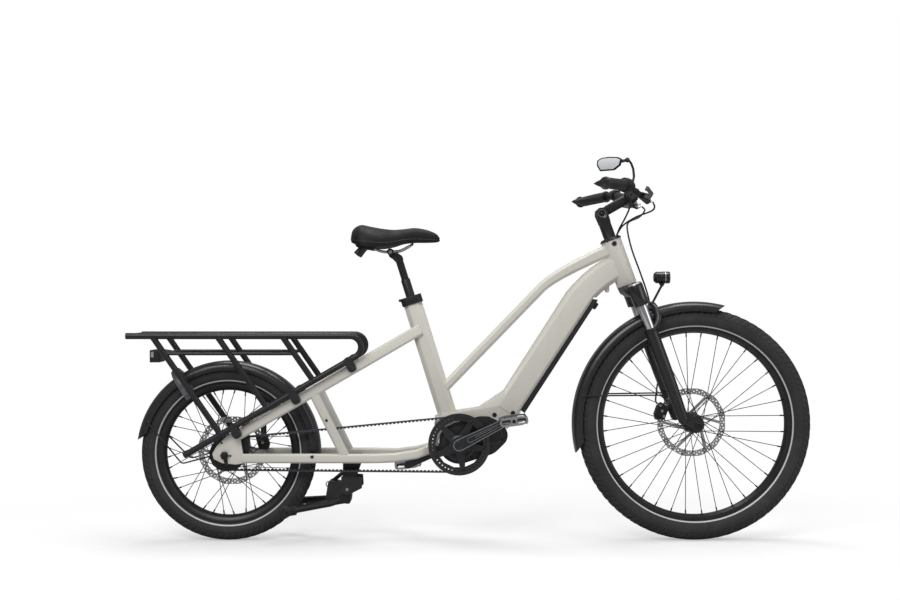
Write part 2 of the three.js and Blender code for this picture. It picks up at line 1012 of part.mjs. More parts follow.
function rearAxleBar() {
  const dropoutFace = stayOffset + dropoutThickness / 2 + gap;
  const bar = crossBar(0, 0, -dropoutFace - axleNutDepth, dropoutFace + axleNutDepth, axleRadius, 8);
  const nut = disc(axleNutRadius, 6);
  const right = beam(at(0, -dropoutFace - axleNutDepth, 0), at(0, -dropoutFace, 0), nut, at(1, 0, 0));
  const left = beam(at(0, dropoutFace, 0), at(0, dropoutFace + axleNutDepth, 0), nut, at(1, 0, 0));
  const box = beam(at(boxForward, -boxFace - boxThickness, boxRise), at(boxForward, -boxFace, boxRise),
    chamfered(boxLength, boxHeight, 3), at(1, 0, 0));
  const arm = plate(
    hullOf([
      [0, 0, axleNutRadius],
      [boxForward, boxRise, axleNutRadius],
    ]),
    -boxFace - boxThickness + gap,
    -boxFace - boxThickness / 2,
  );
  return join(bar, right, left, box, arm);
}

// Belt drive. The belt's loop is measured from where it leaves the top of the rear sprocket
const beltAlong = bracket.clone().sub(rearAxle).normalize();
const beltAcross = at(-beltAlong.z, 0, beltAlong.x);
const beltLean = Math.asin((frontPitchRadius - rearPitchRadius) / beltReach);
const beltRun = beltReach * Math.cos(beltLean);
const topNormal = beltAlong.clone().multiplyScalar(-Math.sin(beltLean)).addScaledVector(beltAcross, Math.cos(beltLean));
const lowNormal = beltAlong.clone().multiplyScalar(-Math.sin(beltLean)).addScaledVector(beltAcross, -Math.cos(beltLean));
const angleOf = (v) => Math.atan2(v.z, v.x);
const frontArc = frontPitchRadius * (Math.PI + 2 * beltLean);

function beltPlace(s, offset) {
  const run = (from, to, radius, normal, along) => {
    const point = from.clone().addScaledVector(normal, radius + offset);
    const end = to.clone().addScaledVector(normal, to === bracket ? frontPitchRadius + offset : rearPitchRadius + offset);
    return point.lerp(end, along / beltRun);
  };
  const round = (centre, radius, angle) =>
    centre.clone().add(at((radius + offset) * Math.cos(angle), 0, (radius + offset) * Math.sin(angle)));
  if (s < beltRun) return run(rearAxle, bracket, rearPitchRadius, topNormal, s);
  if (s < beltRun + frontArc) return round(bracket, frontPitchRadius, angleOf(topNormal) - (s - beltRun) / frontPitchRadius);
  const back = s - beltRun - frontArc;
  if (back < beltRun) return run(bracket, rearAxle, frontPitchRadius, lowNormal, back);
  return round(rearAxle, rearPitchRadius, angleOf(lowNormal) - (back - beltRun) / rearPitchRadius);
}

function belt() {
  const flat = (p) => [p.x, p.z];
  const outer = [];
  const inner = [];
  const ends = [0, beltRun, beltRun + frontArc, 2 * beltRun + frontArc, beltTeeth * beltPitch];
  for (let leg = 0; leg < 4; leg += 1) {
    const turns = leg % 2 === 1;
    const steps = turns ? Math.ceil((ends[leg + 1] - ends[leg]) / beltPitch) : 1;
    for (let i = 0; i < steps; i += 1) {
      const s = ends[leg] + ((ends[leg + 1] - ends[leg]) * i) / steps;
      outer.push(flat(beltPlace(s, beltBack)));
    }
  }
  for (let i = 0; i < beltTeeth; i += 1) {
    const middle = (i + 0.5) * beltPitch;
    inner.push(flat(beltPlace(middle - beltToothTip / 2, -beltRoot - beltToothDepth)));
    inner.push(flat(beltPlace(middle + beltToothTip / 2, -beltRoot - beltToothDepth)));
    inner.push(flat(beltPlace((i + 1) * beltPitch, -beltRoot)));
  }
  return plate(outer, beltLine - beltWidth / 2, beltLine + beltWidth / 2, [inner]);
}

// Outline of a sprocket whose grooves take the belt's teeth; phase is the angle of one groove
function sprocketOutline(teeth, pitchRadius, phase) {
  const land = pitchRadius - beltRoot - sprocketGap;
  const floor = land - beltToothDepth;
  const points = [];
  for (let i = 0; i < teeth; i += 1) {
    const angle = phase + (i * 2 * Math.PI) / teeth;
    const tip = (beltToothTip / 2 + sprocketGap) / floor;
    const next = Math.PI / teeth;
    for (const [radius, turn] of [[floor, -tip], [floor, tip], [land, next]]) {
      points.push([radius * Math.cos(angle + turn), radius * Math.sin(angle + turn)]);
    }
  }
  return points;
}

function chainring() {
  const phase = angleOf(topNormal) + (beltRun - beltPitch / 2) / frontPitchRadius;
  const half = beltWidth / 2;
  const toothRoot = frontPitchRadius - beltRoot - sprocketGap - beltToothDepth;
  const ring = plate(sprocketOutline(frontTeeth, frontPitchRadius, phase), beltLine - half, beltLine + half, [
    disc(toothRoot - ringWall, ringSides),
  ]);
  const guardBack = beltLine - half - gap;
  const guardPlate = plate(disc(guardRadius, guardSides), guardBack - guardThickness, guardBack, [disc(guardInner, ringSides)]);
  const armParts = [];
  for (let i = 0; i < spiderArms; i += 1) {
    const angle = rad(crankAngle) + Math.PI / spiderArms + (i * 2 * Math.PI) / spiderArms;
    const root = at((spiderHub / 2) * Math.cos(angle), beltLine - half + gap, (spiderHub / 2) * Math.sin(angle));
    const reach = guardInner + ringWall / 2;
    const tip = at(reach * Math.cos(angle), beltLine - half + gap, reach * Math.sin(angle));
    armParts.push(beam(root, tip, barSection(spiderThickness, spiderArmWidth)));
  }
  const hub = ringOf(
    [
      [bored(spindleRadius, round), -crankFace + gap],
      [spiderHub, -crankFace + gap],
      [spiderHub, beltLine + half / 2],
      [bored(spindleRadius, round), beltLine + half / 2],
    ],
    round,
  );
  return join(ring, guardPlate, hub, ...armParts);
}

function rearSprocket() {
  const start = 2 * beltRun + frontArc;
  const phase = angleOf(lowNormal) + (start - beltPitch / 2) / rearPitchRadius;
  const half = beltWidth / 2;
  const hubEnd = -rearFlangeSpan / 2 - flangeThickness - gap;
  const toothed = plate(sprocketOutline(rearTeeth, rearPitchRadius, phase), beltLine - half, beltLine + half);
  const face = beltLine - half - gap;
  const flange = crossBar(0, 0, face - overrun, face, rearPitchRadius + sprocketFlange, fine);
  const driver = crossBar(0, 0, face - overrun, hubEnd, sprocketDriverRadius, round);
  const bore = crossBar(0, 0, face - 2 * overrun, 0, bored(axleRadius, round), round);
  return cut(join(toothed, flange, driver), bore);
}

// The outline round several circles, each given as [x, z, radius]
function hullOf(circles, sides = hullSides) {
  const points = circles.flatMap(([x, z, r]) => disc(r, sides).map(([u, v]) => [x + u, z + v]));
  points.sort((a, b) => a[0] - b[0] || a[1] - b[1]);
  const turn = (o, a, b) => (a[0] - o[0]) * (b[1] - o[1]) - (a[1] - o[1]) * (b[0] - o[0]);
  const half = (list) => {
    const kept = [];
    for (const p of list) {
      while (kept.length > 1 && turn(kept[kept.length - 2], kept[kept.length - 1], p) <= 0) kept.pop();
      kept.push(p);
    }
    kept.pop();
    return kept;
  };
  return [...half(points), ...half([...points].reverse())];
}

function motorOutline(grow) {
  const { x, z } = bracket;
  const circles = [
    [x, z, motorBossRadius + grow],
    [x + motorBodyForward, z + motorBodyRise, motorBodyRadius + grow],
    [x + motorNoseForward, z + motorNoseRise, motorNoseRadius + grow],
  ];
  return hullOf(circles, motorSides);
}

function motor() {
  const inner = motorHalfWidth - motorCoverDepth;
  const body = plate(motorOutline(0), -inner, inner);
  const covers = plate(motorOutline(-motorCoverDepth * 2), -motorHalfWidth, motorHalfWidth);
  const collar = crossBar(bracket.x, bracket.z, -motorCollar, motorCollar, spindleRadius * 2, fine);
  const bore = crossBar(bracket.x, bracket.z, -motorCollar * 2, motorCollar * 2, bored(spindleRadius, 12), 12);
  return cut(join(body, covers, collar), bore);
}

function cranks() {
  const { x, z } = bracket;
  const cross = at(1, 0, 0);
  const parts = [crossBar(x, z, -crankFace - overrun, crankFace + overrun, spindleRadius, 12)];
  for (const side of [-1, 1]) {
    const reach = crankLength * -side;
    const eye = [x + reach * Math.cos(rad(crankAngle)), z + reach * Math.sin(rad(crankAngle))];
    const outline = hullOf([[x, z, crankWidth / 2 + crankSwell], [...eye, crankEndWidth / 2]]);
    const near = side * crankFace;
    const far = side * (crankFace + crankThickness);
    parts.push(plate(outline, Math.min(near, far), Math.max(near, far)));
    const axleEnd = side * (crankFace + crankThickness + pedalWidth * pedalAxleShare);
    parts.push(beam(at(eye[0], near, eye[1]), at(eye[0], axleEnd, eye[1]), disc(pedalAxleRadius, coarse), cross));
  }
  return join(...parts);
}

// A platform pedal round its axle: a cage of two cheeks and two bars on a barrel
function pedal(side) {
  const start = crankFace + crankThickness + gap * 2;
  const half = pedalLength / 2;
  const thick = pedalThickness / 2;
  const cheek = hullOf([[-half + thick, 0, thick], [half - thick, 0, thick]]);
  const cheekWall = pedalWall / 2;
  const inner = plate(cheek, side > 0 ? start : -start - cheekWall, side > 0 ? start + cheekWall : -start);
  const end = start + pedalWidth;
  const outer = plate(cheek, side > 0 ? end - cheekWall : -end, side > 0 ? end : -end + cheekWall);
  const cross = at(1, 0, 0);
  const barAt = (x, section) => beam(at(x, side * start, 0), at(x, side * (end - gap), 0), section, cross);
  const bar = barSection(pedalWall, pedalThickness - 2 * overrun);
  const barrel = barAt(0, disc(pedalBarrel, round));
  const cage = join(inner, outer, barrel, barAt(half - pedalWall, bar), barAt(-half + pedalWall, bar));
  const boreEnd = crankFace + crankThickness + pedalWidth * pedalAxleShare + overrun;
  const bore = beam(at(0, 0, 0), at(0, side * boreEnd, 0), disc(bored(pedalAxleRadius, coarse), coarse), cross);
  return cut(cage, bore);
}

function drive() {
  const front = new THREE.Group();
  front.position.copy(bracket);
  add(front, "chainring", chainring(), blackColour, 0.45, 0.3);
  bike.add(front);
  const rear = new THREE.Group();
  rear.position.copy(rearAxle);
  add(rear, "rear_sprocket", rearSprocket(), darkMetal, 0.4, 0.8);
  bike.add(rear);
  add(bike, "belt", belt(), rubberColour, 0.7);
  add(bike, "motor", motor(), blackColour, 0.55);
  add(bike, "cranks", cranks(), blackColour, 0.35, 0.6);
  for (const [name, side] of [["pedal_right", -1], ["pedal_left", 1]]) {
    const group = new THREE.Group();
    const reach = crankLength * -side;
    group.position.copy(bracket).add(at(reach * Math.cos(rad(crankAngle)), 0, reach * Math.sin(rad(crankAngle))));
    const mesh = add(group, name, pedal(side), darkMetal, 0.45, 0.5);
    mesh.rotation.y = rad(-pedalTilt);
    bike.add(group);
  }
}

// Main frame
const along = (from, direction, distance) => from.clone().addScaledVector(direction, distance);
const downUp = at(Math.cos(rad(downTubeAngle)), 0, Math.sin(rad(downTubeAngle)));
const downOut = at(Math.sin(rad(downTubeAngle)), 0, -Math.cos(rad(downTubeAngle)));
const downFoot = bracket.clone().add(at(downFootForward, 0, downFootRise));
const seatFoot = along(seatRoot, seatUp, seatTubeFoot);
const batteryStart = along(downFoot, downUp, batteryFoot);

// grow thickens the tube to make room beside it
function downTube(grow = 0) {
  const straightEnd = along(downFoot, downUp, downTubeLength);
  const section = (swell) => chamfered(downTubeWidth + grow, downTubeDepth + swell + grow, frameChamfer);
  const rings = [
    station(downFoot.x, 0, downFoot.z, downTubeAngle, section(0)),
    station(straightEnd.x, 0, straightEnd.z, downTubeAngle, section(downTubeSwell)),
  ];
  let place = straightEnd.clone();
  let angle = downTubeAngle;
  const step = gooseneckLength / gooseneckSteps;
  for (let i = 1; i <= gooseneckSteps; i += 1) {
    angle -= gooseneckTurn / gooseneckSteps;
    place = place.add(at(step * Math.cos(rad(angle)), 0, step * Math.sin(rad(angle))));
    const share = i / gooseneckSteps;
    const width = downTubeWidth + (gooseneckWidth - downTubeWidth) * share + grow;
    rings.push(station(place.x, 0, place.z, angle, chamfered(width, downTubeDepth + grow, frameChamfer)));
  }
  return loft(rings);
}

function headTube() {
  const foot = along(headFoot, headUp, 0);
  const top = along(headFoot, headUp, headTubeLength);
  return beam(foot, top, disc(headTubeRadius, fine, Math.PI / fine));
}

function cradle() {
  const { x, z } = bracket;
  const tubeEdge = along(downFoot, downOut, -downTubeDepth / 2);
  const tubeOuter = along(downFoot, downOut, downTubeDepth / 2);
  const outline = [
    [x - cradleBack, z - cradleFoot],
    [seatFoot.x - seatTubeDepth / 2 - frameChamfer, seatFoot.z + overrun],
    [seatFoot.x + seatTubeDepth / 2, seatFoot.z + seatTubeDepth / 3],
    [tubeEdge.x - frameChamfer * 4, tubeEdge.z - frameChamfer],
    [tubeEdge.x + frameChamfer * 2, tubeEdge.z + frameChamfer * 3],
    [tubeOuter.x, tubeOuter.z],
    [x + motorNoseForward + motorNoseRadius / 2, z + motorNoseRise],
    [x, z],
  ];
  return plate(outline, -cradleHalfWidth, cradleHalfWidth);
}

// The battery's solid, grown by a clearance for the tube's recess
function batteryBody(grow, endGrow) {
  const outer = downTubeDepth / 2 + stripDepth;
  const inner = outer - batteryDepth;
  const half = (batteryWidth + 2 * grow) / 2;
  const low = -grow;
  const high = batteryLength + endGrow;
  const slope = stripDepth * 2;
  const corner = (s, d) => along(along(batteryStart, downUp, s), downOut, d);
  const outline = [
    corner(low + slope / 3, inner - grow),
    corner(low, outer + (grow ? overrun : 0)),
    corner(high, outer + (grow ? overrun : 0)),
    corner(high - slope, inner - grow),
  ];
  return plate(outline.map((p) => [p.x, p.z]), -half, half);
}

function battery() {
  const face = along(batteryStart, downOut, downTubeDepth / 2 + stripDepth);
  const latchPlace = along(face, downUp, batteryLength - latchBack);
  const latch = beam(latchPlace, along(latchPlace, downUp, latchLength), chamfered(batteryWidth / 2, latchDepth * 2, 4));
  return join(batteryBody(0, 0), latch);
}

function mainTube() {
  const tubes = join(downTube(), headTube(), cradle(), lockLug());
  const steererBore = beam(along(headFoot, headUp, -overrun), along(headFoot, headUp, headTubeLength + overrun),
    disc(steererRadius + bearingGap, 12));
  const motorRoom = plate(motorOutline(1), -downTubeWidth, downTubeWidth);
  return cut(tubes, steererBore, motorRoom, seatRoom(), batteryBody(1, batteryEndGap));
}

// The lug that the battery's lock closes on
function lockLug() {
  const place = along(along(downFoot, downUp, downTubeLength), at(1, 0, 0), lugForward);
  const outline = hullOf([
    [place.x + latchBack, place.z + downTubeDepth / 2 + lugDrop, lugRadius / 2],
    [place.x + latchBack, place.z + lugRadius * 3 - lugDrop, lugRadius / 2],
  ]);
  return plate(outline, -lugRadius, lugRadius);
}

function seatTube() {
  const outer = beam(seatFoot, seatTop, chamfered(seatTubeWidth, seatTubeDepth, seatTubeChamfer));
  const boreFoot = along(seatTop, seatUp, -seatBoreDepth);
  const bore = beam(boreFoot, along(seatTop, seatUp, overrun), disc(postRadius + gap, 14));
  return cut(outer, bore);
}

function topTube() {
  const root = along(seatRoot, seatUp, topTubeRoot);
  const bend = root.clone().add(at(topTubeRun, 0, topTubeRun * Math.tan(rad(topTubeAngle))));
  const section = (share) =>
    chamfered(topTubeWidth + share * topTubeSwell, topTubeDepth + share * topTubeSwell, topTubeChamfer);
  const rings = [
    station(root.x, 0, root.z, topTubeAngle, section(0)),
    station(bend.x - topTubeSweep, 0, bend.z - topTubeSweep, topTubeAngle, section(0)),
  ];
  const head = along(headFoot, headUp, headTubeLength - topTubeDrop);
  const path = new THREE.QuadraticBezierCurve3(at(bend.x - topTubeSweep, 0, bend.z - topTubeSweep), bend, head);
  for (let i = 1; i <= gooseneckSteps; i += 1) {
    const share = i / gooseneckSteps;
    const p = path.getPoint(share);
    const t = path.getTangent(share);
    rings.push(station(p.x, 0, p.z, THREE.MathUtils.radToDeg(Math.atan2(t.z, t.x)), section(share)));
  }
  const body = loft(rings);
  const headRoom = beam(along(headFoot, headUp, -headTubeRadius), along(headTop, headUp, headTubeRadius),
    disc(headTubeRadius + gap, fine, Math.PI / fine));
  return geometryOf(largest(solidOf(cut(body, seatRoom(), headRoom, downTube(2 * gap)))));
}

function largest(solid) {
  const bodies = solid.decompose();
  return bodies.reduce((a, b) => (b.volume() > a.volume() ? b : a));
}

// Rear frame. side is -1 on the right and 1 on the left
const stayLine = (x) => rearAxleHeight + upperStayRise + x * Math.tan(rad(upperStayAngle));
const chainLine = rearAxleHeight - chainStayDrop;
const seatSlope = Math.tan(rad(seatAngle));
const stayJoinX =
  (seatRoot.x - (stayLine(0) - seatRoot.z) / seatSlope) / (1 + Math.tan(rad(upperStayAngle)) / seatSlope);

function seatRoom() {
  const section = chamfered(seatTubeWidth + 2 * gap, seatTubeDepth + 2 * gap, seatTubeChamfer);
  return beam(along(seatFoot, seatUp, -gap), along(seatTop, seatUp, overrun), section);
}

function seatStay(side) {
  const section = chamfered(stayThickness, upperStayHeight, stayChamfer);
  const y = side * stayOffset;
  const rings = [
    station(stayStart + gap, y, stayLine(stayStart + gap), upperStayAngle, section),
    station(stayBend, y, stayLine(stayBend), upperStayAngle, section),
    station(stayJoinX, (side * seatTubeWidth) / 2, stayLine(stayJoinX), upperStayAngle, section),
  ];
  const top = at(strutTop, y, stayLine(strutTop));
  const foot = at(strutFoot, y, chainLine);
  const strut = beam(top, foot, chamfered(stayThickness - overrun, strutWidth, stayChamfer));
  return geometryOf(largest(solidOf(cut(join(loft(rings), strut), seatRoom(), chainTube(side, 2 * gap)))));
}

// grow thickens the tube to make room beside it
function chainTube(side, grow) {
  const section = chamfered(stayThickness + grow, chainStayHeight + grow, stayChamfer);
  const places = [
    [dropoutLength - overrun, stayOffset, chainLine, 0],
    [stayBendX, stayOffset, chainLine, 0],
    [stayWaistX, stayWaist, chainLine, 0],
    [stayNeckX, -beltLine - beltWidth / 2, chainLine + chainStayDrop, stayNeckLean],
    [bracket.x - cradleBack - overrun, stayEndHalf, chainLine + stayEndRise, stayNeckLean],
  ];
  return loft(places.map(([x, y, z, angle]) => station(x, side * y, z, angle, section)));
}

// Points of the rear dropout round the axle
function dropoutOutline() {
  const z = rearAxleHeight;
  const half = upperStayHeight / 2;
  const end = [stayStart, stayLine(stayStart)];
  const lean = rad(upperStayAngle);
  const top = [end[0] - half * Math.sin(lean), end[1] + half * Math.cos(lean)];
  const low = [end[0] + half * Math.sin(lean), end[1] - half * Math.cos(lean)];
  const tail = dropoutShares.map(([x, up]) => [x * dropoutLength, z + up * dropoutLength]);
  return [
    ...tail,
    top,
    low,
    [dropoutLength, chainLine + chainStayHeight / 2],
    [dropoutLength, chainLine - chainStayHeight / 2],
  ];
}

function chainStay(side) {
  const y = side * stayOffset;
  const dropout = plate(dropoutOutline(), y - dropoutThickness / 2, y + dropoutThickness / 2);
  const bore = crossBar(0, rearAxleHeight, y - stayThickness, y + stayThickness, axleRadius + gap, 8);
  return cut(join(chainTube(side, 0), dropout), bore);
}

function frame() {
  add(bike, "main_tube", mainTube(), frameColour, 0.45, 0.1);
  add(bike, "top_tube", topTube(), frameColour, 0.45, 0.1);
  add(bike, "seat_tube", seatTube(), frameColour, 0.45, 0.1);
  for (const [word, side] of [["right", -1], ["left", 1]]) {
    add(bike, "seat_stay_" + word, seatStay(side), frameColour, 0.45, 0.1);
    add(bike, "chain_stay_" + word, chainStay(side), frameColour, 0.45, 0.1);
  }
  add(bike, "battery", battery(), blackColour, 0.5);
}

// Rack
const railUp = at(-Math.sin(rad(upperStayAngle)), 0, Math.cos(rad(upperStayAngle)));
const railBack = at(-Math.cos(rad(upperStayAngle)), 0, -Math.sin(rad(upperStayAngle)));

function rackRoute(y) {
  const points = [at(-railTail, y, rackRailHeight), at(railBend, y, rackRailHeight)];
  const middle = rackRailHeight - bendRadius;
  for (let i = 1; i <= railSteps; i += 1) {
    const angle = Math.PI / 2 - ((Math.PI - rad(upperStayAngle)) * i) / railSteps;
    points.push(at(railBend + bendRadius * Math.cos(angle), y, middle + bendRadius * Math.sin(angle)));
  }
  points.push(along(points[points.length - 1], railBack, lowerRailLength));
  return points;
}

const lowerStart = rackRoute(0)[railSteps + 1];

// Where a leg that starts at x on the top rail meets the lower rail
function legFoot(x, y) {
  const slope = Math.tan(rad(upperStayAngle));
  const steep = Math.tan(rad(legAngle));
  const drop = rackRailHeight - lowerStart.z - (x - lowerStart.x) * slope;
  const run = drop / (steep + slope);
  return at(x + run, y, rackRailHeight - run * steep);
}

function legAt(x, z, y) {
  return at(x + (rackRailHeight - z) / Math.tan(rad(legAngle)), y, z);
}

function rackClamp(distance, side) {
  const middle = along(at(lowerStart.x, 0, lowerStart.z), railBack, distance);
  const half = clampWidth / 2;
  const outline = [
    along(along(middle, railBack, -half), railUp, railRadius),
    along(along(middle, railBack, half), railUp, railRadius),
    along(along(middle, railBack, half), railUp, -clampDrop + half / 2),
    along(along(middle, railBack, half / 2), railUp, -clampDrop),
    along(along(middle, railBack, -half / 2), railUp, -clampDrop),
    along(along(middle, railBack, -half), railUp, -clampDrop + half / 2),
  ].map((p) => [p.x, p.z]);
  const inner = stayOffset + stayThickness / 2 + gap;
  const outer = rackOffset - gap;
  return plate(outline, side > 0 ? inner : -outer, side > 0 ? outer : -inner);
}

function rackSide(side) {
  const y = side * rackOffset;
  const parts = [tube(rackRoute(y), disc(railRadius, round, Math.PI / round))];
  for (const x of legStarts) parts.push(beam(at(x, y, rackRailHeight), legFoot(x, y), disc(railRadius - gap, 6)));
  const barEnds = [legStarts[0], legStarts[2]].map((x) => legAt(x, sideBarHeight, y));
  parts.push(beam(barEnds[0], barEnds[1], disc(sideBarRadius, sideBarSides)));
  for (const place of clampPlaces) parts.push(rackClamp(place, side));
  if (side < 0) {
    const end = at(barEnds[0].x, rackOffset - railRadius - gap, sideBarHeight);
    parts.push(beam(barEnds[0], end, disc(sideBarRadius, sideBarSides), at(1, 0, 0)));
  }
  return join(...parts);
}

function rackDeck() {
  const parts = [];
  const reach = rackOffset - railRadius - gap;
  const first = deckEdge - railTail;
  const last = railBend - deckEdge;
  for (let i = 0; i < deckBars; i += 1) {
    const x = first + ((last - first) * i) / (deckBars - 1);
    parts.push(beam(at(x, -reach, rackRailHeight), at(x, reach, rackRailHeight), disc(deckBarRadius, 6), at(1, 0, 0)));
  }
  for (const side of [-1, 1]) {
    const y = side * reach * deckShare;
    parts.push(beam(at(first, y, rackRailHeight), at(last, y, rackRailHeight), disc(sideBarRadius, sideBarSides)));
  }
  return join(...parts);
}

function tailLight() {
  const middle = legAt(legStarts[0], sideBarHeight, 0);
  const barFace = middle.x - sideBarRadius * Math.cos(Math.PI / sideBarSides) - gap;
  const back = barFace - tailReach;
  const outline = [
    [back, sideBarHeight + tailTop],
    [back, sideBarHeight - tailDrop],
    [back + tailDepth, sideBarHeight - tailDrop],
    [back + tailDepth, sideBarHeight - sideBarRadius],
    [barFace, sideBarHeight - sideBarRadius],
    [barFace, sideBarHeight + sideBarRadius],
    [back + tailDepth, sideBarHeight + tailTop],
  ];
  return plate(outline, -tailWidth / 2, tailWidth / 2);
}

// A horseshoe lock that stands over the rear tyre between the first pair of legs
function ringLock() {
  const up = at(-Math.cos(rad(legAngle)), 0, Math.sin(rad(legAngle)));
  const normal = at(Math.sin(rad(legAngle)), 0, Math.cos(rad(legAngle)));
  const middle = legAt(legStarts[0], lockHeight, 0).addScaledVector(normal, -lockSetback);
  const outline = [];
  for (let i = 0; i <= lockSteps; i += 1) {
    const angle = (Math.PI * i) / lockSteps;
    outline.push([lockOuter * Math.cos(angle), lockOuter * Math.sin(angle)]);
  }
  outline.push([-lockOuter, -lockArm], [-lockInner, -lockArm]);
  for (let i = lockSteps; i >= 0; i -= 1) {
    const angle = (Math.PI * i) / lockSteps;
    outline.push([lockInner * Math.cos(angle), lockInner * Math.sin(angle)]);
  }
  outline.push([lockInner, -lockArm], [lockOuter, -lockArm]);
  const start = along(middle, normal, -lockThickness / 2);
  const body = new THREE.ExtrudeGeometry(shapeOf(outline), { depth: lockThickness, bevelEnabled: false });
  body.applyMatrix4(new THREE.Matrix4().makeBasis(at(0, 1, 0), up, at(0, 1, 0).cross(up)).setPosition(start));
  const lugs = [-1, 1].map((side) => {
    const from = along(along(middle, up, -lockArm / 2), normal, lockSetback / 2).setY(side * (lockOuter - overrun));
    const to = from.clone().setY(side * (rackOffset - railRadius));
    return beam(from, to, chamfered(lockSetback + lockThickness / 2, lockThickness, overrun), normal);
  });
  return join(outward(body), ...lugs);
}

// The middle of a caliper, as x and z from the axle
function caliperMiddle(angle) {
  const middle = rotorRadius - caliperDepth / 2 + caliperBridge;
  return [middle * Math.cos(angle), middle * Math.sin(angle)];
}

// The lug that seats a caliper on the bar whose middle is at seat, between two y values
function caliperLug(angle, seat, fromY, toY) {
  const outline = hullOf([[...caliperMiddle(angle), caliperLugRadius], [...seat, caliperLugRadius]], coarse);
  return plate(outline, fromY, toY);
}

function rearCaliper() {
  const angle = rad(rearCaliperAngle);
  const x = caliperMiddle(angle)[0];
  const outer = rearRotorLine + rotorThickness / 2 + caliperOutRear;
  const seat = [x, stayLine(x) - rearAxle.z];
  const lug = caliperLug(angle, seat, outer - caliperLugRadius, stayOffset - stayThickness / 2 - gap);
  return join(caliper(angle, rearRotorLine, caliperOutRear), lug);
}

function rearGuard() {
  const radius = rearTyreRadius + guardClearRear;
  const skin = guard(radius, rearGuardWidth, rearGuardFrom, rearGuardTo, guardSteps);
  const parts = [skin];
  for (const side of [-1, 1]) {
    const y = (side * (rearGuardWidth - stayWireRadius)) / 2;
    const inner = stayOffset - dropoutThickness / 2 - gap - stayWireRadius;
    const bend = onArc(rearWireReach, rearWireBend, side * rearWireWidth);
    const wire = [onArc(radius - guardSkirt * wireShare, rearWireAngle, y), bend, at(-rearWireEnd, side * inner, 0)];
    parts.push(tube(wire, stayWireRadius, 4));
  }
  return join(...parts);
}

function luggage() {
  add(bike, "rack_side_right", rackSide(-1), blackColour, 0.5);
  add(bike, "rack_side_left", rackSide(1), blackColour, 0.5);
  add(bike, "rack_deck", rackDeck(), blackColour, 0.5);
  add(bike, "tail_light", tailLight(), blackColour, 0.4);
  add(bike, "ring_lock", ringLock(), darkMetal, 0.4, 0.3);
  const group = new THREE.Group();
  group.position.copy(rearAxle);
  add(group, "rear_mudguard", rearGuard(), blackColour, 0.5);
  add(group, "rear_caliper", rearCaliper(), darkMetal, 0.5, 0.4);
  bike.add(group);
}

// Front fork. These pieces are built in a frame whose z is the steering axis and whose x points forwards
const steering = new THREE.Group();
steering.position.copy(headFoot);
steering.rotation.y = rad(headAngle - 90);
bike.add(steering);

function forkCrown() {
  const outline = crownShares.map(([n, s]) => [n * crownLength, s * crownDepth]);
  const bridge = plate(outline, -crownHalfWidth, crownHalfWidth);
  const steerer = beam(at(0, 0, -crownDepth / 2), at(0, 0, headTubeLength), disc(steererRadius, 12));
  const onLeg = (side, low, high, radius, sides) =>
    beam(at(legOffset, side * legSpread, low), at(legOffset, side * legSpread, high), disc(radius, sides));
  const shoulders = [-1, 1].map((side) => onLeg(side, -shoulderDrop, -shoulderTop, shoulderRadius, round));
  const sockets = [-1, 1].map((side) =>
    onLeg(side, -shoulderDrop - overrun, -socketTop, stanchionRadius + gap, 16),
  );
  return cut(join(bridge, steerer, ...shoulders), ...sockets);
}

function stanchion(side) {
  const y = side * legSpread;
  return beam(at(legOffset, y, -stanchionFoot), at(legOffset, y, -socketTop - gap), disc(stanchionRadius, fine));
}

// The radius of a lower leg at a height below the crown
function lowerRadiusAt(z) {
  const share = (-z - lowerBoreFoot) / (axleToCrown - lowerFootRise - lowerBoreFoot);
  const taper = THREE.MathUtils.clamp(share, 0, 1);
  return lowerRadius * (1 + (lowerFootShare - 1) * taper);
}

// One lower leg; grow thickens it to make room beside it
function lowerLeg(side, grow) {
  const heelHeight = lowerFootRise - axleToCrown;
  const rings = [
    [legOffset, -lowerTop],
    [legOffset, -lowerBoreFoot],
    [legOffset + overrun, heelHeight],
  ].map(([x, z]) => disc(lowerRadiusAt(z) + grow, round).map(([u, v]) => at(x + u, side * legSpread + v, z)));
  return loft(rings);
}

function forkLowers() {
  const parts = [];
  const tools = [];
  const heel = legOffset + overrun;
  const heelHeight = lowerFootRise - axleToCrown;
  const heelRadius = lowerRadius * lowerFootShare;
  for (const side of [-1, 1]) {
    const y = side * legSpread;
    parts.push(lowerLeg(side, 0));
    const boss = hullOf([
      [forkOffset, -axleToCrown, dropoutBoss],
      [heel, heelHeight + heelRadius, heelRadius],
    ]);
    parts.push(plate(boss, y - dropoutThickness, y + dropoutThickness));
    tools.push(beam(at(legOffset, y, -lowerBoreFoot), at(legOffset, y, -shoulderDrop),
      disc(stanchionRadius + 2 * gap, fine)));
  }
  parts.push(crossBar(forkOffset, -axleToCrown, -legSpread, legSpread, axleRadius, 8));
  const half = archPoints.map(([x, y, z]) => at(x, y, z));
  const near = archPoints.map(([x, y, z]) => at(x, -y, z)).slice(0, -1);
  parts.push(tube([...near, ...half.reverse()], archRadius, 7));
  parts.push(...lampRods());
  return cut(join(...parts), ...tools);
}

// Two rods from the brace to the eye that the lamp turns in
function lampRods() {
  const [x, , z] = archPoints[archPoints.length - 1];
  const rods = [];
  for (const side of [-1, 1]) {
    const y = side * lampRodSpread;
    rods.push(beam(at(x, y, z), at(lampForward, y, -lampDrop), disc(lampRod, 8)));
    rods.push(crossBar(lampForward, -lampDrop, y - lampRod, y + lampRod, lampEyeRadius, coarse));
  }
  rods.push(crossBar(lampForward, -lampDrop, -lampRodSpread, lampRodSpread, lampPin, coarse));
  return rods;
}

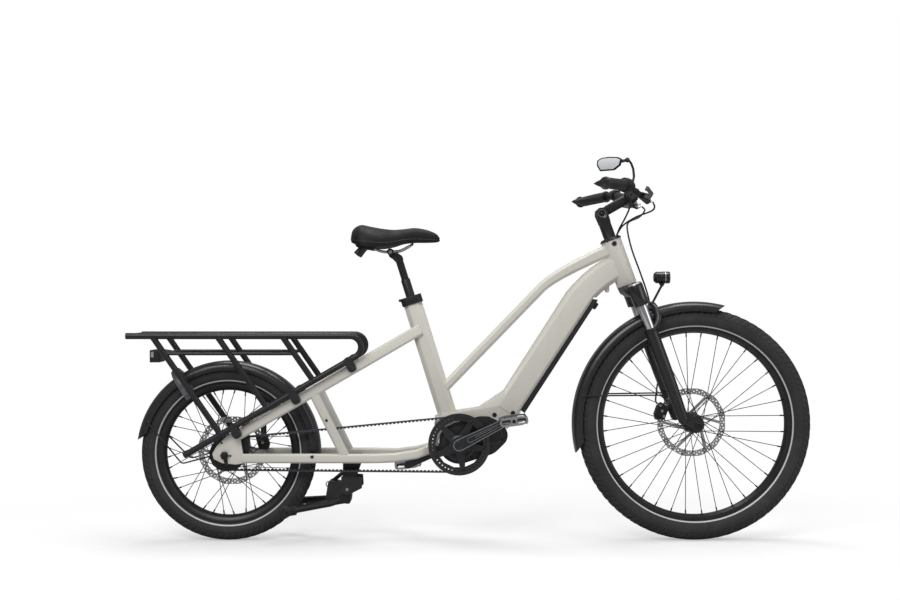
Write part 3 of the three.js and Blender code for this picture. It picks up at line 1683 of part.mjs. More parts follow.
function frontGuard() {
  const radius = frontTyreRadius + guardClearFront;
  const lean = 90 - headAngle;
  const skin = guard(radius, frontGuardWidth, frontGuardFrom - lean, frontGuardTo - lean, 22);
  const parts = [skin];
  for (const side of [-1, 1]) {
    const y = (side * (frontGuardWidth - stayWireRadius)) / 2;
    const inner = side * (legSpread - lowerRadiusAt(frontWireRise - axleToCrown) - gap - stayWireRadius);
    const start = onArc(radius - guardSkirt * wireShare, frontWireAngle - lean, y);
    parts.push(tube([start, at(legOffset - forkOffset, inner, frontWireRise)], stayWireRadius, 4));
  }
  return join(...parts);
}

// A turned piece whose axis lies along x; the profile is a list of [x, radius] pairs
function turnedAlongX(profile, sides = 14) {
  const body = new THREE.LatheGeometry(profile.map(([x, r]) => new THREE.Vector2(r, x)), sides);
  body.rotateZ(-Math.PI / 2);
  return outward(body);
}

function front() {
  add(steering, "fork_crown", forkCrown(), blackColour, 0.4, 0.3);
  add(steering, "stanchion_right", stanchion(-1), steelColour, 0.12, 1);
  add(steering, "stanchion_left", stanchion(1), steelColour, 0.12, 1);
  add(steering, "fork_lowers", forkLowers(), blackColour, 0.45, 0.2);
  const group = new THREE.Group();
  group.position.set(forkOffset, 0, -axleToCrown);
  add(group, "front_mudguard", frontGuard(), blackColour, 0.5);
  const rotorY = frontFlangeSpan / 2 + flangeThickness + gap;
  const legRoom = lowerLeg(1, gap).translate(-forkOffset, 0, axleToCrown);
  const angle = rad(frontCaliperAngle);
  const outer = rotorY + rotorThickness / 2 + caliperOutFront;
  const seat = [legOffset - forkOffset, caliperMiddle(angle)[1]];
  const lug = caliperLug(angle, seat, outer - caliperLugRadius, outer);
  const body = cut(join(caliper(angle, rotorY, caliperOutFront), lug), legRoom);
  add(group, "front_caliper", body, darkMetal, 0.5, 0.4);
  steering.add(group);
  lamp();
}

function lamp() {
  const group = new THREE.Group();
  group.position.set(lampForward, 0, -lampDrop);
  group.rotation.y = rad(90 - headAngle);
  const bezel = lampFront - lampFinWidth;
  const shell = turnedAlongX([
    [-lampBack, 0],
    [-lampBack, lampRadius * lampBackShare],
    [-lampBack + lampFinWidth / 2, lampRadius],
    [bezel, lampRadius],
    [lampFront, lampRadius],
    [lampFront, lampRadius * lampBezelShare],
    [bezel, lampRadius * lampBackShare],
    [bezel, 0],
  ]);
  shell.translate(0, 0, lampRise);
  const fin = plate(
    hullOf([
      [0, 0, lampEyeRadius],
      [0, lampRise - lampRadius + overrun, lampFinWidth],
    ]),
    -lampFinHalf,
    lampFinHalf,
  );
  const bore = crossBar(0, 0, -lampRadius, lampRadius, bored(lampPin, coarse), coarse);
  const below = crossBar(0, lampRise, -lampRadius, lampRadius, lampRadius - overrun, round);
  add(group, "headlight", cut(join(shell, cut(fin, below)), bore), blackColour, 0.35);
  const lens = turnedAlongX([
    [bezel + gap, 0],
    [bezel + gap, lampRadius * lampBackShare - gap],
    [lampFront - overrun * 2, lampRadius * lampBackShare],
    [lampFront - overrun, 0],
  ]);
  add(group, "headlight_lens", lens.translate(0, 0, lampRise), lensColour, 0.1);
  steering.add(group);
}

// Cockpit
const stemPivot = along(headFoot, headUp, stemPivotHeight);
const barCentre = stemPivot.clone().add(at(stemReach * Math.cos(rad(stemRise)), 0, stemReach * Math.sin(rad(stemRise))));

function stemPost() {
  const foot = headTubeLength + gap;
  const cap = turnedUp(
    [
      [0, foot],
      [capRadius, foot],
      [capRadius, foot + capLip],
      [capShoulder, foot + capHeight],
      [0, foot + capHeight],
    ],
    fine,
  );
  const top = stemPivotHeight - stemPivotRadius - overrun;
  const post = beam(at(0, 0, foot + capLip), at(0, 0, top), chamfered(stemWidth, stemThickness, stemChamfer));
  const outline = hullOf([
    [0, stemPivotHeight, stemPivotRadius],
    [0, top - stemPivotRadius / 2, stemThickness / 2],
  ]);
  const ears = [-stemWidth / 2, stemEarInner].map((y) => plate(outline, y, y + stemWidth / 2 - stemEarInner));
  const pin = crossBar(0, stemPivotHeight, -stemEarInner - overrun, stemEarInner + overrun, stemPin, 8);
  return join(cap, post, ...ears, pin);
}

function stemArm() {
  const lift = at(Math.cos(rad(stemRise)), 0, Math.sin(rad(stemRise)));
  const inner = along(stemPivot, lift, stemArmStart);
  const section = chamfered(stemWidth, stemArmDepth, stemChamfer);
  const arm = beam(inner, along(barCentre, lift, -barClampRadius), section);
  const neck = along(stemPivot, lift, stemArmStart + overrun);
  const tongue = plate(
    hullOf([
      [stemPivot.x, stemPivot.z, stemPivotRadius - 1],
      [neck.x, neck.z, stemArmDepth / 2 - overrun],
    ]),
    -stemEarInner + 2 * gap,
    stemEarInner - 2 * gap,
  );
  const half = stemClampWidth / 2;
  const clamp = crossBar(barCentre.x, barCentre.z, -half, half, stemClampRadius, round);
  const pinRoom = crossBar(stemPivot.x, stemPivot.z, -stemWidth, stemWidth, bored(stemPin, 8), 8);
  const barRoom = crossBar(barCentre.x, barCentre.z, -stemWidth, stemWidth, barClampRadius + gap, round);
  return cut(join(arm, tongue, clamp), pinRoom, barRoom);
}

// The place on the bar at a distance out from its middle, and the direction it runs there
function barPlace(side, out) {
  const found = barBends.findIndex((bend) => bend[1] >= out);
  const i = found < 1 ? barBends.length - 1 : found;
  const [a, b] = [barBends[i - 1], barBends[i]];
  const share = (out - a[1]) / (b[1] - a[1]);
  const [x, y, z] = a.map((value, k) => value + (b[k] - value) * share);
  const direction = at(b[0] - a[0], side * (b[1] - a[1]), b[2] - a[2]).normalize();
  return { place: barCentre.clone().add(at(x, side * y, z)), direction };
}

function barRing(side, from, to, section) {
  const start = barPlace(side, from);
  return beam(start.place, barPlace(side, to).place, section, at(1, 0, 0));
}

// The bore's flats face the bar's corners
const barBore = (grow = 0) => disc(bored(barRadius + grow, round), round, Math.PI / round);

function barRoom(side, from, to) {
  const start = barPlace(side, from);
  const end = barPlace(side, to);
  return beam(along(start.place, start.direction, -overrun), along(end.place, end.direction, overrun),
    barBore(), at(1, 0, 0));
}

function handlebar() {
  const half = (side) => barBends.map(([x, y, z]) => barCentre.clone().add(at(x, side * y, z)));
  const bar = tube([...half(-1).reverse(), ...half(1)], barRadius, 8);
  const middle = crossBar(barCentre.x, barCentre.z, -barClampHalf, barClampHalf, barClampRadius, round);
  return join(bar, middle);
}

function grip(side) {
  const start = barPlace(side, gripStart).place;
  const { place: end, direction } = barPlace(side, gripEnd);
  const fore = at(Math.abs(direction.y), -side * direction.x, 0).normalize();
  const up = at(0, 0, 1).addScaledVector(direction, -direction.z).normalize();
  const rings = gripShares.map(([share, wing]) => {
    const middle = start.clone().lerp(end, share);
    return disc(gripRadius, 10).map(([u, v]) => {
      const back = Math.max(0, -u / gripRadius);
      const thin = 1 - gripThinShare * wing * back;
      return middle.clone().addScaledVector(fore, u - gripWing * wing * back ** 2).addScaledVector(up, v * thin);
    });
  });
  const bend = barBends[barBends.length - 1][1];
  const bore = beam(along(start, direction, -overrun), along(barPlace(side, bend).place, direction, gap),
    barBore(), at(1, 0, 0));
  return cut(loft(rings), bore);
}

function shifterRing() {
  const ribbed = disc(1, ribCount * 2).map(([u, v], i) => {
    const reach = shifterRadius - (i % 2) * shifterRib;
    return [u * reach, v * reach];
  });
  return cut(barRing(-1, shifterStart, shifterEnd, ribbed), barRoom(-1, shifterStart, shifterEnd));
}

// Points of a brake lever's frame: ahead of, outside and above its pivot
const leverAxis = at(Math.sin(rad(leverTilt)), 0, Math.cos(rad(leverTilt)));
const leverFore = at(Math.cos(rad(leverTilt)), 0, -Math.sin(rad(leverTilt)));
const leverPivot = (side) => barPlace(side, leverPlace).place.add(at(leverAhead, 0, -leverBelow));

function leverPoint(side, [fore, out, up]) {
  return leverPivot(side).addScaledVector(leverFore, fore).add(at(0, side * out, 0)).addScaledVector(leverAxis, up);
}

function leverSlab(side, circles, from, to) {
  const outline = hullOf(circles, coarse).map(([u, v]) => [u, v * side]);
  return beam(leverPoint(side, [0, 0, from]), leverPoint(side, [0, 0, to]), outline, leverFore);
}

function brakeClamp(side) {
  const parts = [barRing(side, clampStart, clampEnd, disc(clampRadius, round))];
  const start = leverPoint(side, cylinderStart);
  parts.push(beam(start, leverPoint(side, cylinderEnd), disc(cylinderRadius, 8)));
  const root = barPlace(side, leverPlace).place;
  parts.push(beam(root, along(start, leverFore, cylinderRadius / 2), barSection(clampRadius, clampRadius)));
  const ear = [[0, 0, leverHub], [-leverHub - cylinderRadius / 2, -clampRadius, leverHub]];
  parts.push(leverSlab(side, ear, leverEar, leverEarEnd));
  parts.push(leverSlab(side, ear, -leverEarEnd, -leverEar));
  parts.push(leverSlab(side, [[0, 0, leverPin]], -leverEarEnd, leverEarEnd));
  const last = side < 0 ? barrelEnd : clampEnd;
  if (side < 0) parts.push(barRing(side, barrelStart - overrun, barrelEnd, disc(barrelRadius, round)));
  return cut(join(...parts), bentBarRoom(side, clampStart, last));
}

// Room for the bar where it passes a bend
function bentBarRoom(side, from, to) {
  const bend = barBends[2][1];
  const points = [along(barPlace(side, from).place, barPlace(side, from).direction, -overrun)];
  if (to > bend) points.push(barPlace(side, bend).place);
  points.push(along(barPlace(side, to).place, barPlace(side, to).direction, overrun));
  return tube(points, barBore(gap));
}

function brakeLever(side) {
  const hub = leverSlab(side, [[0, 0, leverHub]], -leverHubHalf, leverHubHalf);
  const rings = leverBlade.map(([fore, out, half, height]) => {
    const section = chamfered(half * 2, height * 2, half / 2);
    return section.map(([u, v]) => leverPoint(side, [fore + u, out, v]));
  });
  const [tipFore, tipOut, , tipHeight] = leverBlade[leverBlade.length - 1];
  const tip = leverSlab(side, [[tipFore, tipOut, leverEar]], -tipHeight, tipHeight);
  const bore = leverSlab(side, [[0, 0, bored(leverPin, coarse)]], -leverEarEnd, leverEarEnd);
  return cut(join(hub, loft(rings), tip), bore);
}

const fromBar = ([x, y, z]) => barCentre.clone().add(at(x, y, z));
const mirrorNormal = at(-Math.sin(rad(mirrorTurn)), -Math.cos(rad(mirrorTurn)), 0);
const mirrorSide = at(-Math.cos(rad(mirrorTurn)), Math.sin(rad(mirrorTurn)), 0);

function mirrorArm() {
  const ring = barRing(1, mirrorClampStart, mirrorClampEnd, disc(clampRadius, round));
  const route = new THREE.CatmullRomCurve3(mirrorArmRoute.map(fromBar));
  const arm = tube(route.getPoints(7), mirrorArmRadius, 5);
  const ball = new THREE.SphereGeometry(mirrorBallRadius, 8, 5).rotateX(Math.PI / 2);
  ball.translate(...fromBar(mirrorBall).toArray());
  return cut(join(ring, arm, outward(ball)), barRoom(1, mirrorClampStart, mirrorClampEnd));
}

function mirrorOutline(shrink) {
  return mirrorShares.map(([u, v]) => [u * (mirrorWidth - shrink), v * (mirrorHeight - shrink)]);
}

function mirrorHousing() {
  const front = fromBar(mirrorCentre);
  const middle = along(front, mirrorNormal, -mirrorDepth / 2);
  const back = along(front, mirrorNormal, -mirrorDepth * 1.5);
  const flip = (outline) => outline.map(([u, v]) => [-u, v]);
  const rings = [
    [back, mirrorHeight / 2],
    [middle, mirrorLip],
    [front, 0],
  ].map(([place, shrink]) =>
    flip(mirrorOutline(shrink)).map(([u, v]) => along(place, mirrorSide, u).add(at(0, 0, v))),
  );
  const shell = loft(rings);
  const ball = fromBar(mirrorBall);
  const stubEnd = ball.clone().lerp(middle, (mirrorBallRadius + gap) / ball.distanceTo(middle));
  const stub = beam(middle, stubEnd, disc(mirrorStub, coarse), at(0, 0, 1));
  const recess = glassSolid(-mirrorLip, overrun, mirrorLip);
  return cut(join(shell, stub), recess);
}

function glassSolid(from, to, shrink) {
  const front = fromBar(mirrorCentre);
  const rings = [from, to].map((depth) =>
    mirrorOutline(shrink * 2).map(([u, v]) => along(along(front, mirrorNormal, depth), mirrorSide, -u).add(at(0, 0, v))),
  );
  return loft(rings);
}

function cockpit() {
  add(steering, "stem_post", stemPost(), blackColour, 0.4, 0.4);
  add(bike, "stem_arm", stemArm(), blackColour, 0.4, 0.4);
  add(bike, "handlebar", handlebar(), blackColour, 0.35, 0.5);
  for (const [word, side] of [["right", -1], ["left", 1]]) {
    add(bike, "grip_" + word, grip(side), rubberColour, 0.8);
    add(bike, "brake_clamp_" + word, brakeClamp(side), blackColour, 0.4, 0.4);
    add(bike, "brake_lever_" + word, brakeLever(side), steelColour, 0.35, 0.9);
  }
  add(bike, "twist_shifter", shifterRing(), rubberColour, 0.7);
  add(bike, "mirror_arm", mirrorArm(), blackColour, 0.4, 0.3);
  add(bike, "mirror_housing", mirrorHousing(), blackColour, 0.4);
  add(bike, "mirror_glass", glassSolid(-mirrorLip + gap, -gap, mirrorLip + gap), steelColour, 0.03, 1);
}

// Seat
function seatCollar() {
  const body = beam(along(seatTop, seatUp, -collarFoot), along(seatTop, seatUp, collarTop),
    chamfered(collarWidth, collarDepth, seatTubeChamfer));
  const tubeRoom = beam(along(seatTop, seatUp, -collarFoot - overrun), along(seatTop, seatUp, gap),
    chamfered(seatTubeWidth + 2 * gap, seatTubeDepth + 2 * gap, seatTubeChamfer));
  const postRoom = beam(along(seatTop, seatUp, -collarFoot), along(seatTop, seatUp, collarTop + overrun),
    disc(postRadius + gap, 14));
  return cut(body, tubeRoom, postRoom);
}

function lowerPost() {
  const post = beam(along(seatTop, seatUp, -lowerPostInside), along(seatTop, seatUp, seatPostUp), disc(postRadius, 14));
  const bore = beam(along(seatTop, seatUp, seatPostUp - lowerPostBore), along(seatTop, seatUp, seatPostUp + overrun),
    disc(postStageRadius + gap, 12));
  return cut(post, bore);
}

function upperPost() {
  const foot = along(seatTop, seatUp, seatPostUp - upperPostInside);
  const top = along(seatTop, seatUp, seatPostUp + seatPostStage);
  const post = beam(foot, top, disc(postStageRadius, 12));
  const head = [top.x - clampHeadBack, top.z + clampHeadRise];
  const block = plate(
    hullOf([
      [top.x, top.z, clampBlockRadius],
      [...head, clampHeadRadius],
    ]),
    -clampBlockHalf,
    clampBlockHalf,
  );
  const bolt = crossBar(...head, -railBoltHalf, railBoltHalf, railBoltRadius, coarse);
  const inner = railSpread + saddleRailRadius + gap;
  const cheeks = [-railBoltHalf, inner].map((y) =>
    crossBar(...head, y, y + railBoltHalf - inner, clampHeadRadius, round),
  );
  return join(post, block, bolt, ...cheeks);
}

function saddle() {
  const upper = new THREE.CatmullRomCurve3(saddleRows.map(([x, half, top]) => at(x, half, top)), false, "catmullrom", 0.4);
  const lower = new THREE.CatmullRomCurve3(saddleRows.map(([x, , , low]) => at(x, 0, low)), false, "catmullrom", 0.4);
  const rings = [];
  for (let i = 0; i <= saddleRings; i += 1) {
    const { x, y: half, z: top } = upper.getPoint(i / saddleRings);
    const low = lower.getPoint(i / saddleRings).z;
    const ring = [];
    for (let j = 0; j <= saddleArc; j += 1) {
      const across = Math.cos((Math.PI * j) / saddleArc);
      const rise = Math.sqrt(1 - Math.abs(across) ** saddleCrownPower);
      ring.push(at(x, half * across, low + (top - low) * rise));
    }
    const roof = low + Math.min(saddleRecess, (top - low) / 2);
    const hem = Math.min(saddleHem, half / 3);
    ring.push(at(x, -half + hem, low), at(x, -half + 2 * hem, roof), at(x, half - 2 * hem, roof), at(x, half - hem, low));
    rings.push(ring);
  }
  return loft(rings, rings[0].map((p) => [p.y, p.z]));
}

function saddleRails() {
  const near = saddleRailRoute.map(([x, y, z]) => at(x, -y, z));
  const far = saddleRailRoute.slice(0, -1).map(([x, y, z]) => at(x, y, z)).reverse();
  const rail = tube([...near, ...far], saddleRailRadius, 5);
  const bumpers = [-1, 1].map((side) => {
    const [from, to] = [bumperFoot, bumperTop].map(([x, y, z]) => at(x, side * y, z));
    return beam(from, to, disc(bumperRadius, 8));
  });
  return join(rail, ...bumpers);
}

function seat() {
  add(bike, "seat_collar", seatCollar(), blackColour, 0.4, 0.4);
  add(bike, "seatpost_lower", lowerPost(), blackColour, 0.35, 0.5);
  add(bike, "seatpost_upper", upperPost(), blackColour, 0.35, 0.5);
  add(bike, "saddle", saddle(), blackColour, 0.7);
  add(bike, "saddle_rails", saddleRails(), darkMetal, 0.4, 0.5);
}

// Kickstand
const fromStand = (x, y, z) => at(standPivotX + x, y, standPivotHeight + z);

function standBracket() {
  const top = chainLine - bracketFace + bracketPlate / 2;
  const length = bracketTo - bracketFrom;
  const reach = stayOffset - stayThickness / 2 - gap;
  const cross = beam(at(bracketFrom + length / 2, -reach, top - bracketPlate / 2),
    at(bracketFrom + length / 2, reach, top - bracketPlate / 2), chamfered(length, bracketPlate, 3), at(1, 0, 0));
  const outline = hullOf([
    [bracketFrom + lugPivotRadius, top - bracketPlate, lugPivotRadius],
    [bracketTo - lugPivotRadius, top - bracketPlate, lugPivotRadius],
    [standPivotX, standPivotHeight, lugPivotRadius],
  ]);
  const below = outline.map(([x, z]) => [x, Math.min(z, top - overrun)]);
  const lugs = [-lugHalfTo, lugHalfFrom].map((y) => plate(below, y, y + lugHalfTo - lugHalfFrom));
  const pin = crossBar(standPivotX, standPivotHeight, -lugHalfTo - overrun, lugHalfTo + overrun, standPin, 8);
  const spring = beam(fromStand(...springFoot), fromStand(...springTop), disc(springRadius, 8));
  const hook = beam(fromStand(...springTop), at(standPivotX, springTop[1], top - bracketPlate / 2), disc(springRadius / 2, 5));
  return join(cross, ...lugs, pin, spring, hook);
}

function kickstand() {
  const half = lugHalfFrom - gap;
  const casting = plate(
    hullOf([
      [standPivotX, standPivotHeight, standBarrel],
      [standPivotX + standNeck[0], standPivotHeight + standNeck[1], standNeck[2]],
      [standPivotX + standTail[0], standPivotHeight + standTail[1], standTail[2]],
    ]),
    -half,
    half,
  );
  const parts = [casting];
  for (const side of [-1, 1]) {
    const route = standLegRoute.map(([x, y, z]) => fromStand(x, side * y, z));
    parts.push(tube(route, standLegRadius, 8));
    const toe = route[route.length - 1];
    const heel = route[route.length - 2].clone().sub(toe).setLength(standFootLength).add(toe);
    const past = toe.clone().sub(heel).setLength(overrun).add(toe);
    parts.push(beam(heel, past, disc(standFootRadius, 10)));
  }
  const bore = crossBar(standPivotX, standPivotHeight, -lugHalfTo, lugHalfTo, bored(standPin, 8), 8);
  return cut(join(...parts), bore);
}

// Hoses and the shift cable
function hose(points, steps) {
  const route = new THREE.CatmullRomCurve3(points);
  return tube(route.getPoints(steps), hoseRadius, hoseSides);
}

function fromSteering([x, y, z]) {
  return headFoot.clone().addScaledVector(headFore, x).add(at(0, y, 0)).addScaledVector(headUp, z);
}

function hoses() {
  const capFront = stemThickness / 2 + hoseRadius * 2;
  const capTop = headTubeLength + capHeight + hoseRadius;
  const spread = hoseRadius * 1.5;
  const listed = (route) => route.map(([x, y, z]) => at(x, y, z));
  const rear = [leverPoint(-1, cylinderEnd), ...listed(rearHoseRoute), fromSteering([capFront, spread, capTop])];
  rear[0] = along(rear[0], rear[0].clone().sub(leverPoint(-1, cylinderStart)).normalize(), hoseRadius / 2);
  const shift = [...listed(shiftRoute), fromSteering([capFront, -spread, capTop])];
  const front = [leverPoint(1, cylinderEnd), ...listed(frontHoseTop), ...frontHoseLocal.map(fromSteering)];
  front[0] = along(front[0], front[0].clone().sub(leverPoint(1, cylinderStart)).normalize(), hoseRadius / 2);
  add(bike, "brake_hose_rear", hose(rear, 12), blackColour, 0.5);
  add(bike, "shift_cable", hose(shift, 10), blackColour, 0.5);
  add(bike, "brake_hose_front", hose(front, 22), blackColour, 0.5);
}

function standing() {
  add(bike, "kickstand_bracket", standBracket(), blackColour, 0.45, 0.3);
  add(bike, "kickstand", kickstand(), blackColour, 0.45, 0.4);
}

frontWheel();
rearWheel();
drive();
frame();
luggage();
front();
cockpit();
seat();
standing();
hoses();

// Puts the origin under the middle of the length
bike.updateMatrixWorld(true);
const bounds = new THREE.Box3().setFromObject(bike, true);
bike.position.x = -(bounds.min.x + bounds.max.x) / 2;

export default bike;
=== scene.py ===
import json
import math
import bmesh
import bpy
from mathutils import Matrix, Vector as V


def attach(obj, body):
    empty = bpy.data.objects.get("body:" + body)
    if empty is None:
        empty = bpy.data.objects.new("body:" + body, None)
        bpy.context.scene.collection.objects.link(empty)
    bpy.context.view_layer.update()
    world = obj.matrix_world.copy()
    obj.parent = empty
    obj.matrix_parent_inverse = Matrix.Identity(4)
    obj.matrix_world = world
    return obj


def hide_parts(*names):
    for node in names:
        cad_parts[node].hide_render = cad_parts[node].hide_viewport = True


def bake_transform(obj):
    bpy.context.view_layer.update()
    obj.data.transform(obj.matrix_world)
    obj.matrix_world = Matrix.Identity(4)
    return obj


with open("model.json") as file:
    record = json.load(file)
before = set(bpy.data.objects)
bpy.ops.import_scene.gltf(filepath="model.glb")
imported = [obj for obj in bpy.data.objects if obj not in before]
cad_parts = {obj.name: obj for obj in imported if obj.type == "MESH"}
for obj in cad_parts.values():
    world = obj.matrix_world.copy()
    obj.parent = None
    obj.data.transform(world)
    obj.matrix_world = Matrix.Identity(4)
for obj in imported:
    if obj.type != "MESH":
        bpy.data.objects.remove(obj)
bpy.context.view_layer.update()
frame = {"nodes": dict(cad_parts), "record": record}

PI = math.pi
SIDES = ((-1, "right"), (1, "left"))

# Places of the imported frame, in metres: +X forwards, +Y to the rider's left, +Z up
JOINTS = {j["name"]: j for j in frame["record"]["behaviour"]["joints"]}
REAR, FRONT, HEAD, BRACKET, STEM_PIVOT, LAMP_PIVOT, STAND_PIVOT = [V(JOINTS[name]["pos_m"]) for name in (
    "rear_wheel_spin", "front_wheel_spin", "steering_turn", "crank_spin",
    "stem_tilt", "lamp_tilt", "stand_fold")]
AXLE_X = JOINTS["rear_wheel_spin"]["pos_m"][0]
UP = V(JOINTS["steering_turn"]["axis"])
FORE = V((UP.z, 0, -UP.x))
SEAT_UP = V(JOINTS["seatpost_height"]["axis"])
BAR = V((0.461025, 0, 0.998459))
SEAT_TOP = V((-0.175678, 0, 0.699875))
BODY = {n: b for b, ns in frame["record"]["behaviour"]["bodies"].items() for n in ns}


# Sizes, outlines and profiles below are in millimetres, and places are in metres
def mm(x, y, z):
    return V((x / 1000, y / 1000, z / 1000))


def at(x, y, z):
    """A place from the ground under the rear axle."""
    return V((x / 1000 + AXLE_X, y / 1000, z / 1000))


def steer(x, y, z):
    """A place in the fork's own frame."""
    return HEAD + FORE * (x / 1000) + V((0, y / 1000, 0)) + UP * (z / 1000)


def polar(radius, angle):
    return (radius * math.cos(angle), radius * math.sin(angle))


def around(centre, radius, angle, y=0.0):
    """A place at an angle round an axle."""
    return centre + mm(radius * math.cos(angle), y, radius * math.sin(angle))


def turn(count):
    """Even angles round a full turn."""
    return [2 * PI * k / count for k in range(count)]


# Materials
EDGE_REACH = 0.0015


def feed(tree, socket, value):
    """Links a socket to another one, or gives it a number, a vector or a colour."""
    if isinstance(value, bpy.types.NodeSocket):
        tree.links.new(value, socket)
    else:
        socket.default_value = (*value, 1.0) if socket.type == "RGBA" else value


def add_node(tree, kind, inputs=None, **settings):
    node = tree.nodes.new("ShaderNode" + kind)
    for key, value in settings.items():
        setattr(node, key, value)
    for key, value in (inputs or {}).items():
        feed(tree, node.inputs[key], value)
    return node


class Nodes:
    """One material's nodes, with short names for what the looks share."""

    def __init__(self, name):
        self.mat = bpy.data.materials.new(name)
        self.mat.use_nodes = True
        self.tree = self.mat.node_tree
        self.tree.nodes.clear()
        self.bsdf = self.add("BsdfPrincipled")
        self.out = self.add("OutputMaterial", {0: self.bsdf.outputs[0]})
        self.coord = self.add("TexCoord").outputs["Object"]

    def add(self, kind, inputs=None, **settings):
        return add_node(self.tree, kind, inputs, **settings)

    def stretched(self, scale):
        return self.add("Mapping", {"Scale": scale, "Vector": self.coord}).outputs["Vector"]

    def noise(self, scale, detail=3.0, rough=0.5, stretch=None):
        place = self.stretched(stretch) if stretch else self.coord
        return self.add("TexNoise", {"Scale": scale, "Detail": detail, "Roughness": rough,
                                     "Vector": place}).outputs["Fac"]

    def voronoi(self, scale):
        return self.add("TexVoronoi", {"Scale": scale, "Vector": self.coord}).outputs["Distance"]

    def wave(self, scale, direction):
        return self.add("TexWave", {"Scale": scale, "Vector": self.coord},
                        bands_direction=direction).outputs["Fac"]

    def ramp(self, value, low, high, a=0.0, b=1.0):
        return self.add("MapRange", {"From Min": low, "From Max": high, "To Min": a, "To Max": b,
                                     "Value": value}).outputs["Result"]

    def clouds(self, a, b, scale, detail=3.0, rough=0.5):
        """A value that drifts softly between a and b."""
        return self.ramp(self.noise(scale, detail, rough), 0.3, 0.7, a, b)

    def math(self, how, *values):
        return self.add("Math", dict(enumerate(values)), operation=how).outputs[0]

    def mix(self, share, a, b):
        return self.add("Mix", {0: share, 6: a, 7: b}, data_type="RGBA").outputs[2]

    def edge(self):
        """1 on sharp outer edges and 0 on flat ground."""
        bevel = self.add("Bevel", {"Radius": EDGE_REACH}, samples=4)
        normal = self.add("NewGeometry").outputs["Normal"]
        dot = self.add("VectorMath", {0: bevel.outputs[0], 1: normal}, operation="DOT_PRODUCT")
        return self.ramp(dot.outputs["Value"], 0.97, 0.86)

    def finish(self, height=None, strength=0.3, depth=0.0005, **values):
        """Sets the shader's inputs and the bump, and gives the material."""
        for key, value in values.items():
            feed(self.tree, self.bsdf.inputs[key.replace("_", " ")], value)
        if height:
            bump = self.add("Bump", {"Strength": strength, "Distance": depth, "Height": height})
            feed(self.tree, self.bsdf.inputs["Normal"], bump.outputs[0])
        return self.mat


def srgb(*levels):
    """A colour as it looks on screen, 0 to 255, in linear light."""
    shares = [c / 255 for c in levels]
    return tuple(c / 12.92 if c <= 0.04045 else ((c + 0.055) / 1.055) ** 2.4 for c in shares)


def times(colour, share):
    return tuple(c * share for c in colour)


def coat(name, base, rough, metal, grain, bump, wear, wear_by, spread, clear=0.0):
    """Paint, powder coat or anodising: fine grain, cloudy colour, rubbed edges."""
    n = Nodes(name)
    light = tuple(min(1, c * (1 + spread) + spread * 0.01) for c in base)
    ground = n.mix(n.clouds(0, 1, 6, 4), times(base, 1 - spread), light)
    rubbed = n.math("MULTIPLY", n.edge(), n.ramp(n.noise(55, 5, 0.65), 0.45, 0.7, 0, wear_by))
    return n.finish(n.noise(grain, 2), bump, 0.0002, Base_Color=n.mix(rubbed, ground, wear), Metallic=metal,
                    Roughness=n.clouds(rough - 0.05, rough + 0.07, 30, 5, 0.6), Coat_Weight=clear,
                    Coat_Roughness=0.25)


def brushed(name, base, rough=0.28, stretch=(40, 40, 900)):
    """Bare metal with fine lines along one direction."""
    n = Nodes(name)
    lines = n.noise(3, 4, 0.6, stretch)
    return n.finish(lines, 0.12, 0.0001, Base_Color=n.mix(n.ramp(lines, 0.3, 0.7), times(base, 0.86), base),
                    Roughness=n.ramp(lines, 0.3, 0.7, rough - 0.06, rough + 0.08), Metallic=1.0)


def moulded(name, base, rough, grain=650, bump=0.35):
    """Moulded plastic with a fine spark-eroded grain."""
    n = Nodes(name)
    return n.finish(n.voronoi(grain), bump, 0.0002,
                    Base_Color=n.mix(n.clouds(0, 1, 9, 4), times(base, 0.9), times(base, 1.1)),
                    Roughness=n.clouds(rough - 0.06, rough + 0.06, 45, 4))


def rubber(name, base, rough, dots=False):
    n = Nodes(name)
    colour = n.mix(n.ramp(n.noise(12, 5), 0.3, 0.75), times(base, 0.8), times(base, 1.35))
    height = n.ramp(n.voronoi(260), 0.25, 0.45, 1, 0) if dots else n.noise(1200, 2)
    return n.finish(height, 0.5 if dots else 0.25, 0.0006 if dots else 0.0002, Base_Color=colour,
                    Roughness=n.clouds(rough - 0.08, rough + 0.08, 60, 4))


